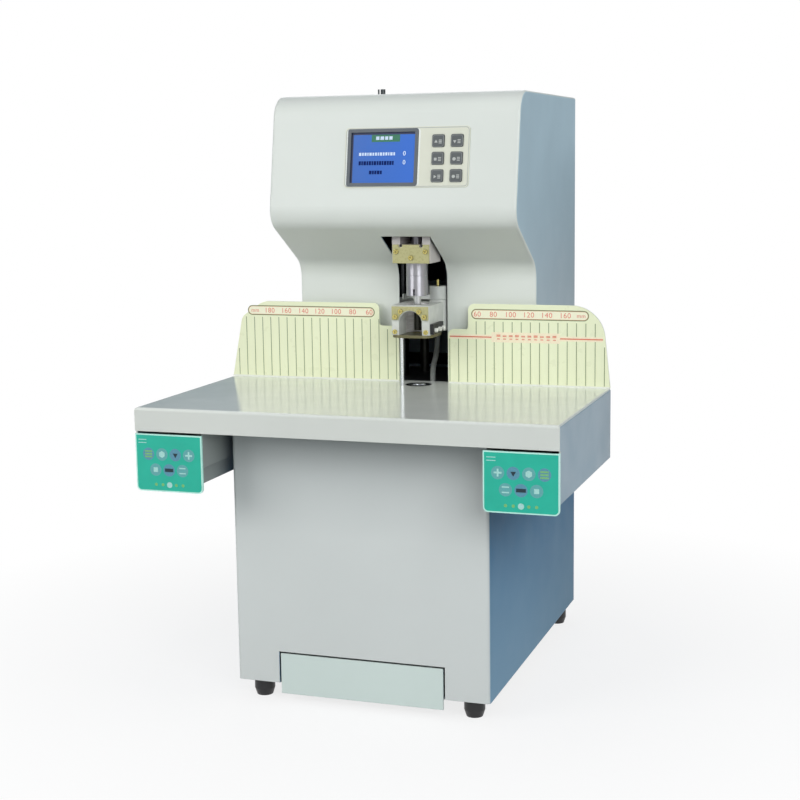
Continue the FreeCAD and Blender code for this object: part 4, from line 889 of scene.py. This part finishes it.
def screen():
    """Lit screen with a painted shadow along its left and top edges, a tag, rows of blocks and two counts."""
    glass = Shader("screen_glass", roughness=0.16)
    across = glass.axis(glass.object, "X")
    across = glass.spread(across, 0.0, 1.0, SCREEN_X0, SCREEN_X1)
    lit = glass.mix(across, srgb(52, 108, 197), srgb(58, 118, 221))
    cells = glass.spread(glass.noise(2400.0, 1.0), 0.96, 1.04)
    glass.colour(glass.mix(0.75, lit, srgb(0, 0, 0)))
    glass.link(lit, glass.surface.inputs["Emission Color"])
    glass.surface.inputs["Emission Strength"].default_value = 0.62
    glass.roughness(glass.spread(cells, 0.12, 0.2, 0.96, 1.04))
    outline = rectangle(SCREEN_X0, SCREEN_X1, -SCREEN_HALF, SCREEN_HALF)
    face_piece("screen_face", flat_mesh("screen_face", [outline], 0.2 * MM), -0.4 * MM, glass.material)
    # Painted shadow of the bezel along the screen's left and top edges
    shadow = ink("screen_painted_shadow_ink", srgb(22, 34, 70))
    edge = 2.3 * MM
    bars = [
        rectangle(SCREEN_X0, SCREEN_X0 + edge, -SCREEN_HALF, SCREEN_HALF),
        rectangle(SCREEN_X0, SCREEN_X1, SCREEN_HALF - edge, SCREEN_HALF),
    ]
    face_piece("screen_painted_shadow", flat_mesh("screen_painted_shadow", bars, PRINT), -0.2 * MM, shadow)
    tag = ink("screen_tag_ink", srgb(34, 112, 80))
    outline = rectangle(-23 * MM, 8.5 * MM, 16.6 * MM, 24.2 * MM)
    face_piece("screen_tag", flat_mesh("screen_tag", [outline], PRINT), -0.2 * MM, tag)
    white = ink("screen_white_ink", srgb(206, 224, 246))
    blocks = dash_row(-18.0, 2.5, 20.6, 3.6, (3.6, 4.0, 3.4), 1.2)
    blocks += dash_row(-36.5, 5.5, 3.9, 3.2, (2.6, 1.8, 2.2, 1.4), 0.9)
    face_piece("screen_light_marks", flat_mesh("screen_light_marks", blocks, PRINT), -0.13 * MM, white)
    navy = ink("screen_dark_ink", srgb(4, 30, 92), gloss=0.6, specular=0.1)
    blocks = dash_row(-36.5, 4.0, -5.6, 4.2, (2.4, 1.8, 2.8, 2.0), 0.6)
    blocks += dash_row(-24.5, -9.0, -15.4, 3.8, (2.8, 2.0, 2.2), 0.6)
    face_piece("screen_dark_marks", flat_mesh("screen_dark_marks", blocks, PRINT), -0.13 * MM, navy)
    for index, v in enumerate((4.0, -5.2)):
        name = "screen_count_%d" % (index + 1)
        mesh = text_mesh(name, "0", 6.4 * MM, PRINT, bold=0.12 * MM)
        placed(mesh, Matrix.Translation((14.0 * MM, v * MM, 0.0)))
        face_piece(name, mesh, -0.11 * MM, white)


def panel_marks():
    """Outlines of the membrane, and a rim and a plain sign on each key."""
    outline_ink = ink("membrane_outline_ink", srgb(172, 176, 170))
    ring = band(-51.2 * MM, 84.2 * MM, -30.9 * MM, 30.9 * MM, 4.0 * MM, 0.7 * MM)
    face_piece("membrane_outline", ribbon_mesh("membrane_outline", [ring], PRINT), PANEL_RISE, outline_ink)
    pale = ink("membrane_border_ink", srgb(240, 243, 236))
    ring = band(-50.5 * MM, 31.2 * MM, -30.2 * MM, 30.2 * MM, 3.3 * MM, 1.6 * MM)
    face_piece("membrane_border", ribbon_mesh("membrane_border", [ring], PRINT), PANEL_RISE, pale)
    rim_ink = ink("key_rim_ink", srgb(132, 136, 134))
    mark_ink = ink("key_mark_ink", srgb(186, 188, 184))
    for number in range(1, 7):
        low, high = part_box("key_%d" % number)
        x = (low.x + high.x) / 2
        v = ((low.z + high.z) / 2 - FACE_MIDDLE.z) / math.cos(FACE_ANGLE)
        body = "key_%d_body" % number
        reach = 6.1 * MM
        ring = band(x - reach, x + reach, v - reach, v + reach, 2.4 * MM, 0.5 * MM)
        name = "key_%d_rim" % number
        face_piece(name, ribbon_mesh(name, [ring], PRINT), KEY_RISE, rim_ink, body)
        left = x - 2.3 * MM
        right = x + 2.3 * MM
        y = v - 0.6 * MM
        size = 2.0 * MM
        signs = (
            regular(left, y, size, 3, 90),
            regular(left, y, size, 3, -90),
            regular(left, y, size, 4, 45),
            disc(left, y, 1.8 * MM, 20),
            regular(left, y, size, 3, 0),
            regular(left, y, 1.9 * MM, 6, 0),
        )
        bars = [middle_rectangle(right, y + step * 1.5 * MM, 3.2 * MM, 0.8 * MM) for step in (-1, 0, 1)]
        name = "key_%d_mark" % number
        face_piece(name, flat_mesh(name, [signs[number - 1]] + bars, PRINT), KEY_RISE, mark_ink, body)


screen()
panel_marks()


# Drawer fronts: a teal sheet inside a pale rim, with a generic design of discs and plain shapes
disc_ink = ink("drawer_disc_ink", srgb(96, 168, 168), uneven=0.1)
violet_ink = ink("drawer_violet_ink", srgb(88, 146, 168), uneven=0.12)
light_ink = ink("drawer_light_ink", srgb(168, 218, 210), uneven=0.1)
lime_ink = ink("drawer_lime_ink", srgb(122, 186, 112), uneven=0.15)
navy_ink = ink("drawer_navy_ink", srgb(8, 40, 50), uneven=0.1)


FRONT_HALF = 37.0 * MM
FRONT_LOW = 229.5 * MM
FRONT_HIGH = 288.5 * MM
FRONT_RIM = 1.3 * MM
DISC_RADIUS = 6.4 * MM


def drawer_print(side, middle, mirrored):
    """The printed sheet of one drawer front, its middle given in x."""
    body = side + "_drawer"
    half = FRONT_HALF - FRONT_RIM
    outline = rounded_rectangle(
        middle - half, middle + half, FRONT_LOW + FRONT_RIM, FRONT_HIGH - FRONT_RIM, 4.0 * MM, 0.6 * MM
    )
    layers = {"teal_sheet": ([outline], m["teal"], 1.0)}
    turn = -1 if mirrored else 1
    upper = [(middle + turn * place * MM, 268.0 * MM) for place in (-22.5, -7.5, 7.5, 22.5)]
    lower = [(middle + turn * place * MM, 252.0 * MM) for place in (-15.0, 0.0, 15.0)]
    pale = [disc(x, z, DISC_RADIUS) for x, z in (upper[1], upper[3], lower[0], lower[2])]
    layers["pale_discs"] = (pale, disc_ink, 1.8)
    violet = [disc(x, z, DISC_RADIUS) for x, z in (upper[0], upper[2], lower[1])]
    layers["violet_discs"] = (violet, violet_ink, 1.8)
    corner_x = middle - 29 * MM
    foot_z = 236.8 * MM
    light = [middle_rectangle(corner_x, (282.6 - step * 3.2) * MM, 9 * MM, 0.8 * MM) for step in (0, 1)]
    light += [regular(*upper[1], 3.6 * MM, 6), regular(*lower[0], 3.4 * MM, 4, 45)]
    light += [disc(middle, foot_z, 3.0 * MM), plus(*upper[3], 3.8 * MM, 1.8 * MM)]
    x, z = lower[2]
    light += [middle_rectangle(x, z + step * 2.6 * MM, 7 * MM, 1.3 * MM) for step in (-1, 1)]
    layers["light_shapes"] = (light, light_ink, 2.6)
    x, z = upper[0]
    lime = [middle_rectangle(x, z + step * 2.8 * MM, 8 * MM, 1.6 * MM) for step in (-1, 0, 1)]
    lime += [disc(middle + step * 7.5 * MM, foot_z, 1.6 * MM, 16) for step in (-2, -1, 1, 2)]
    layers["lime_shapes"] = (lime, lime_ink, 2.6)
    navy = [middle_rectangle(*lower[1], 9.5 * MM, 3.6 * MM), regular(*upper[2], 3.2 * MM, 3, 30)]
    layers["navy_shapes"] = (navy, navy_ink, 2.6)
    for words, (loops, material, lift) in layers.items():
        name = "%s_drawer_%s" % (side, words)
        mesh = placed(flat_mesh(name, loops, lift * PRINT), upright(DRAWER_FACE_Y))
        new_piece(name, mesh, material, body)


DRAWER_X = 183.0 * MM
drawer_print("left", -DRAWER_X, False)
drawer_print("right", DRAWER_X, True)


# Cable in the throat, over the points of its route
CABLE_ROUTE = ((27, 19, 372), (27, 19, 357), (23.5, 24, 343), (17.5, 31, 329.5), (17.5, 31, 313.5))
CABLE_RADIUS = 3.0


def throat_cable():
    """Cable from the press block down to the bed plate, in place of its plain solid."""
    curve = bpy.data.curves.new("throat_cable_jacket", "CURVE")
    curve.dimensions = "3D"
    curve.bevel_depth = CABLE_RADIUS * MM
    curve.bevel_resolution = 6
    curve.use_fill_caps = True
    curve.resolution_u = 12
    line = curve.splines.new("NURBS")
    line.points.add(len(CABLE_ROUTE) - 1)
    for point, place in zip(line.points, CABLE_ROUTE):
        point.co = (*[value * MM for value in place], 1.0)
    line.order_u = 3
    line.use_endpoint_u = True
    holder = bpy.data.objects.new("throat_cable_line", curve)
    bpy.context.scene.collection.objects.link(holder)
    bpy.context.view_layer.update()
    mesh = bpy.data.meshes.new_from_object(holder.evaluated_get(bpy.context.evaluated_depsgraph_get()))
    bpy.data.objects.remove(holder)
    mesh.materials.clear()
    for polygon in mesh.polygons:
        polygon.use_smooth = True
    piece = new_piece("throat_cable_jacket", mesh, m["cable"], "machine_frame")
    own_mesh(piece)
    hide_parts("throat_cable")


throat_cable()


def notch_painted_shade():
    """Flat black discs in the two notches of the drill bracket's brass plate, painted shade standing for
    tapped holes.
    """
    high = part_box("drill_brass_plate")[1]
    middle = (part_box("drill_brass_plate")[0].x + high.x) / 2
    loops = [disc(middle + side * NOTCH_APART / 2, high.z - NOTCH_DROP, NOTCH_HOLE, 24) for side in (-1, 1)]
    mesh = placed(flat_mesh("notch_painted_shade", loops, PRINT), upright(high.y))
    new_piece("notch_painted_shade", mesh, m["black"], "drill_head")


notch_painted_shade()


FOAM_CORNER = 3.0 * MM
FOAM_THICKNESS = 0.6 * MM
FOAM_GAP = 0.1 * MM


def vent_foam(name, x0, x1, z0, z1):
    """A foam sheet with round corners, inside a rear cover."""
    outline = rounded_rectangle(x0 * MM, x1 * MM, z0 * MM, z1 * MM, FOAM_CORNER)
    mesh = placed(flat_mesh(name, [outline], FOAM_THICKNESS), upright(COVER_INSIDE_Y - FOAM_GAP))
    new_piece(name, mesh, m["foam"], "machine_frame")


vent_foam("head_vent_foam_left", -95, -25, 412, 490)
vent_foam("head_vent_foam_right", 25, 95, 412, 490)
vent_foam("cabinet_vent_foam", 25, 95, 114, 190)
vent_foam("rear_seam_seal", -116, 116, 308, 322)


FLOOR_SIZE = 14.0
# Share of plain white in the floor as the camera and mirrors see it, by distance from the machine
FLOOR_WHITE = (0.78, 1.0)
FLOOR_REACH = (0.28, 0.72)
AMBIENT = 0.34
# What metal and glass mirror: a tone between two, by a direction's Z and a share of its X and Y
MIRROR_DARK = (0.09, 0.16, 0.21, 1.0)
MIRROR_WHITE = (1.0, 1.0, 1.0, 1.0)
MIRROR_SPAN = (-0.35, 1.1)
MIRROR_X = 0.45
MIRROR_Y = -0.25


def studio_floor():
    """Plain white floor that keeps the shadow."""
    bpy.ops.mesh.primitive_plane_add(size=FLOOR_SIZE)
    floor = bpy.context.object
    floor.name = "studio_floor"
    s = Shader("studio_floor", roughness=0.8, specular=0.1)
    path = s.add("ShaderNodeLightPath")
    plain = s.mix(s.spread(s.noise(3.0), 0.0, 1.0), (0.93, 0.93, 0.93, 1.0), (0.95, 0.95, 0.95, 1.0))
    s.colour(s.mix(path.outputs["Is Diffuse Ray"], plain, (0.40, 0.41, 0.42, 1.0)))
    glow = s.add("ShaderNodeEmission")
    glow.inputs["Color"].default_value = (1.0, 1.0, 1.0, 1.0)
    away = s.add("ShaderNodeVectorMath", operation="LENGTH")
    s.link(s.object, away.inputs[0])
    seen = s.math("MAXIMUM", path.outputs["Is Camera Ray"], path.outputs["Is Glossy Ray"])
    seen = s.math("MAXIMUM", seen, path.outputs["Is Transmission Ray"])
    white = s.math("MULTIPLY", seen, s.spread(away.outputs["Value"], *FLOOR_WHITE, *FLOOR_REACH))
    blend = s.add("ShaderNodeMixShader")
    s.link(white, blend.inputs[0])
    s.link(s.surface.outputs[0], blend.inputs[1])
    s.link(glow.outputs[0], blend.inputs[2])
    s.link(blend.outputs[0], s.tree.nodes["Material Output"].inputs["Surface"])
    floor.data.materials.append(s.material)


def studio_world():
    """Soft light all round, white behind the machine, and a shaded surround for what mirrors it."""
    world = bpy.data.worlds.new("studio_world")
    bpy.context.scene.world = world
    world.use_nodes = True
    tree = world.node_tree
    soft = tree.nodes["Background"]
    soft.inputs["Color"].default_value = (0.92, 0.96, 1.0, 1.0)
    soft.inputs["Strength"].default_value = AMBIENT
    heading = tree.nodes.new("ShaderNodeSeparateXYZ")
    tree.links.new(tree.nodes.new("ShaderNodeTexCoord").outputs["Generated"], heading.inputs[0])
    wide = tree.nodes.new("ShaderNodeMath")
    wide.operation = "MULTIPLY_ADD"
    wide.inputs[1].default_value = MIRROR_X
    tree.links.new(heading.outputs["X"], wide.inputs[0])
    tree.links.new(heading.outputs["Z"], wide.inputs[2])
    front = tree.nodes.new("ShaderNodeMath")
    front.operation = "MULTIPLY_ADD"
    front.inputs[1].default_value = MIRROR_Y
    tree.links.new(heading.outputs["Y"], front.inputs[0])
    tree.links.new(wide.outputs[0], front.inputs[2])
    ramp = tree.nodes.new("ShaderNodeMapRange")
    ramp.interpolation_type = "SMOOTHSTEP"
    ramp.inputs["From Min"].default_value = MIRROR_SPAN[0]
    ramp.inputs["From Max"].default_value = MIRROR_SPAN[1]
    tree.links.new(front.outputs[0], ramp.inputs["Value"])
    backdrop = tree.nodes.new("ShaderNodeMix")
    backdrop.data_type = "RGBA"
    backdrop.inputs[6].default_value = MIRROR_DARK
    backdrop.inputs[7].default_value = MIRROR_WHITE
    tree.links.new(ramp.outputs["Result"], backdrop.inputs[0])
    mirrored = tree.nodes.new("ShaderNodeBackground")
    tree.links.new(backdrop.outputs[2], mirrored.inputs["Color"])
    white = tree.nodes.new("ShaderNodeBackground")
    white.inputs["Color"].default_value = (1.0, 1.0, 1.0, 1.0)
    path = tree.nodes.new("ShaderNodeLightPath")
    glossy = tree.nodes.new("ShaderNodeMixShader")
    tree.links.new(path.outputs["Is Glossy Ray"], glossy.inputs[0])
    tree.links.new(soft.outputs[0], glossy.inputs[1])
    tree.links.new(mirrored.outputs[0], glossy.inputs[2])
    through = tree.nodes.new("ShaderNodeMath")
    through.operation = "MAXIMUM"
    tree.links.new(path.outputs["Is Camera Ray"], through.inputs[0])
    tree.links.new(path.outputs["Is Transmission Ray"], through.inputs[1])
    seen = tree.nodes.new("ShaderNodeMixShader")
    tree.links.new(through.outputs[0], seen.inputs[0])
    tree.links.new(glossy.outputs[0], seen.inputs[1])
    tree.links.new(white.outputs[0], seen.inputs[2])
    tree.links.new(seen.outputs[0], tree.nodes["World Output"].inputs["Surface"])


NEUTRAL = (1.0, 1.0, 1.0)
COOL = (0.95, 0.98, 1.0)
# Softboxes: name, place, target, width, height, power and colour
SOFTBOXES = (
    ("left_softbox", (-1.7, -1.9, 1.35), (0.0, -0.1, 0.35), 1.6, 1.5, 30.0, NEUTRAL),
    ("right_softbox", (1.55, -2.0, 1.35), (0.0, -0.1, 0.35), 1.6, 1.5, 32.0, COOL),
    ("side_softbox", (2.2, -0.2, 1.9), (0.0, 0.0, 0.45), 1.0, 1.4, 9.0, COOL),
    ("rear_softbox", (-0.8, 2.4, 1.6), (0.0, 0.1, 0.35), 1.4, 1.2, 9.0, NEUTRAL),
)


def softboxes():
    for name, place, target, width, height, power, colour in SOFTBOXES:
        light = bpy.data.lights.new(name, "AREA")
        light.shape = "RECTANGLE"
        light.size = width
        light.size_y = height
        light.energy = power
        light.color = colour
        lamp = bpy.data.objects.new(name, light)
        bpy.context.scene.collection.objects.link(lamp)
        lamp.location = place
        heading = Vector(target) - Vector(place)
        lamp.rotation_euler = heading.to_track_quat("-Z", "Y").to_euler()


def photo_camera():
    """Camera at the photograph's place, turned by its heading, tilt and roll."""
    camera_data = bpy.data.cameras.new("photo_camera")
    camera_data.sensor_width = SENSOR
    camera_data.lens = CAMERA_FOCUS / IMAGE_SIZE * SENSOR
    camera_data.clip_start = 0.05
    camera_data.clip_end = 60.0
    camera = bpy.data.objects.new("photo_camera", camera_data)
    bpy.context.scene.collection.objects.link(camera)
    ahead = Vector((
        math.sin(CAMERA_YAW) * math.cos(CAMERA_PITCH),
        math.cos(CAMERA_YAW) * math.cos(CAMERA_PITCH),
        -math.sin(CAMERA_PITCH),
    ))
    level = Vector((math.cos(CAMERA_YAW), -math.sin(CAMERA_YAW), 0.0))
    over = level.cross(ahead)
    right = level * math.cos(CAMERA_ROLL) + over * math.sin(CAMERA_ROLL)
    up = over * math.cos(CAMERA_ROLL) - level * math.sin(CAMERA_ROLL)
    turn = Matrix((right, up, -ahead)).transposed().to_4x4()
    camera.matrix_world = Matrix.Translation(CAMERA_PLACE) @ turn
    bpy.context.scene.camera = camera


studio_floor()
studio_world()
softboxes()
photo_camera()
bpy.context.scene.view_settings.view_transform = "Standard"
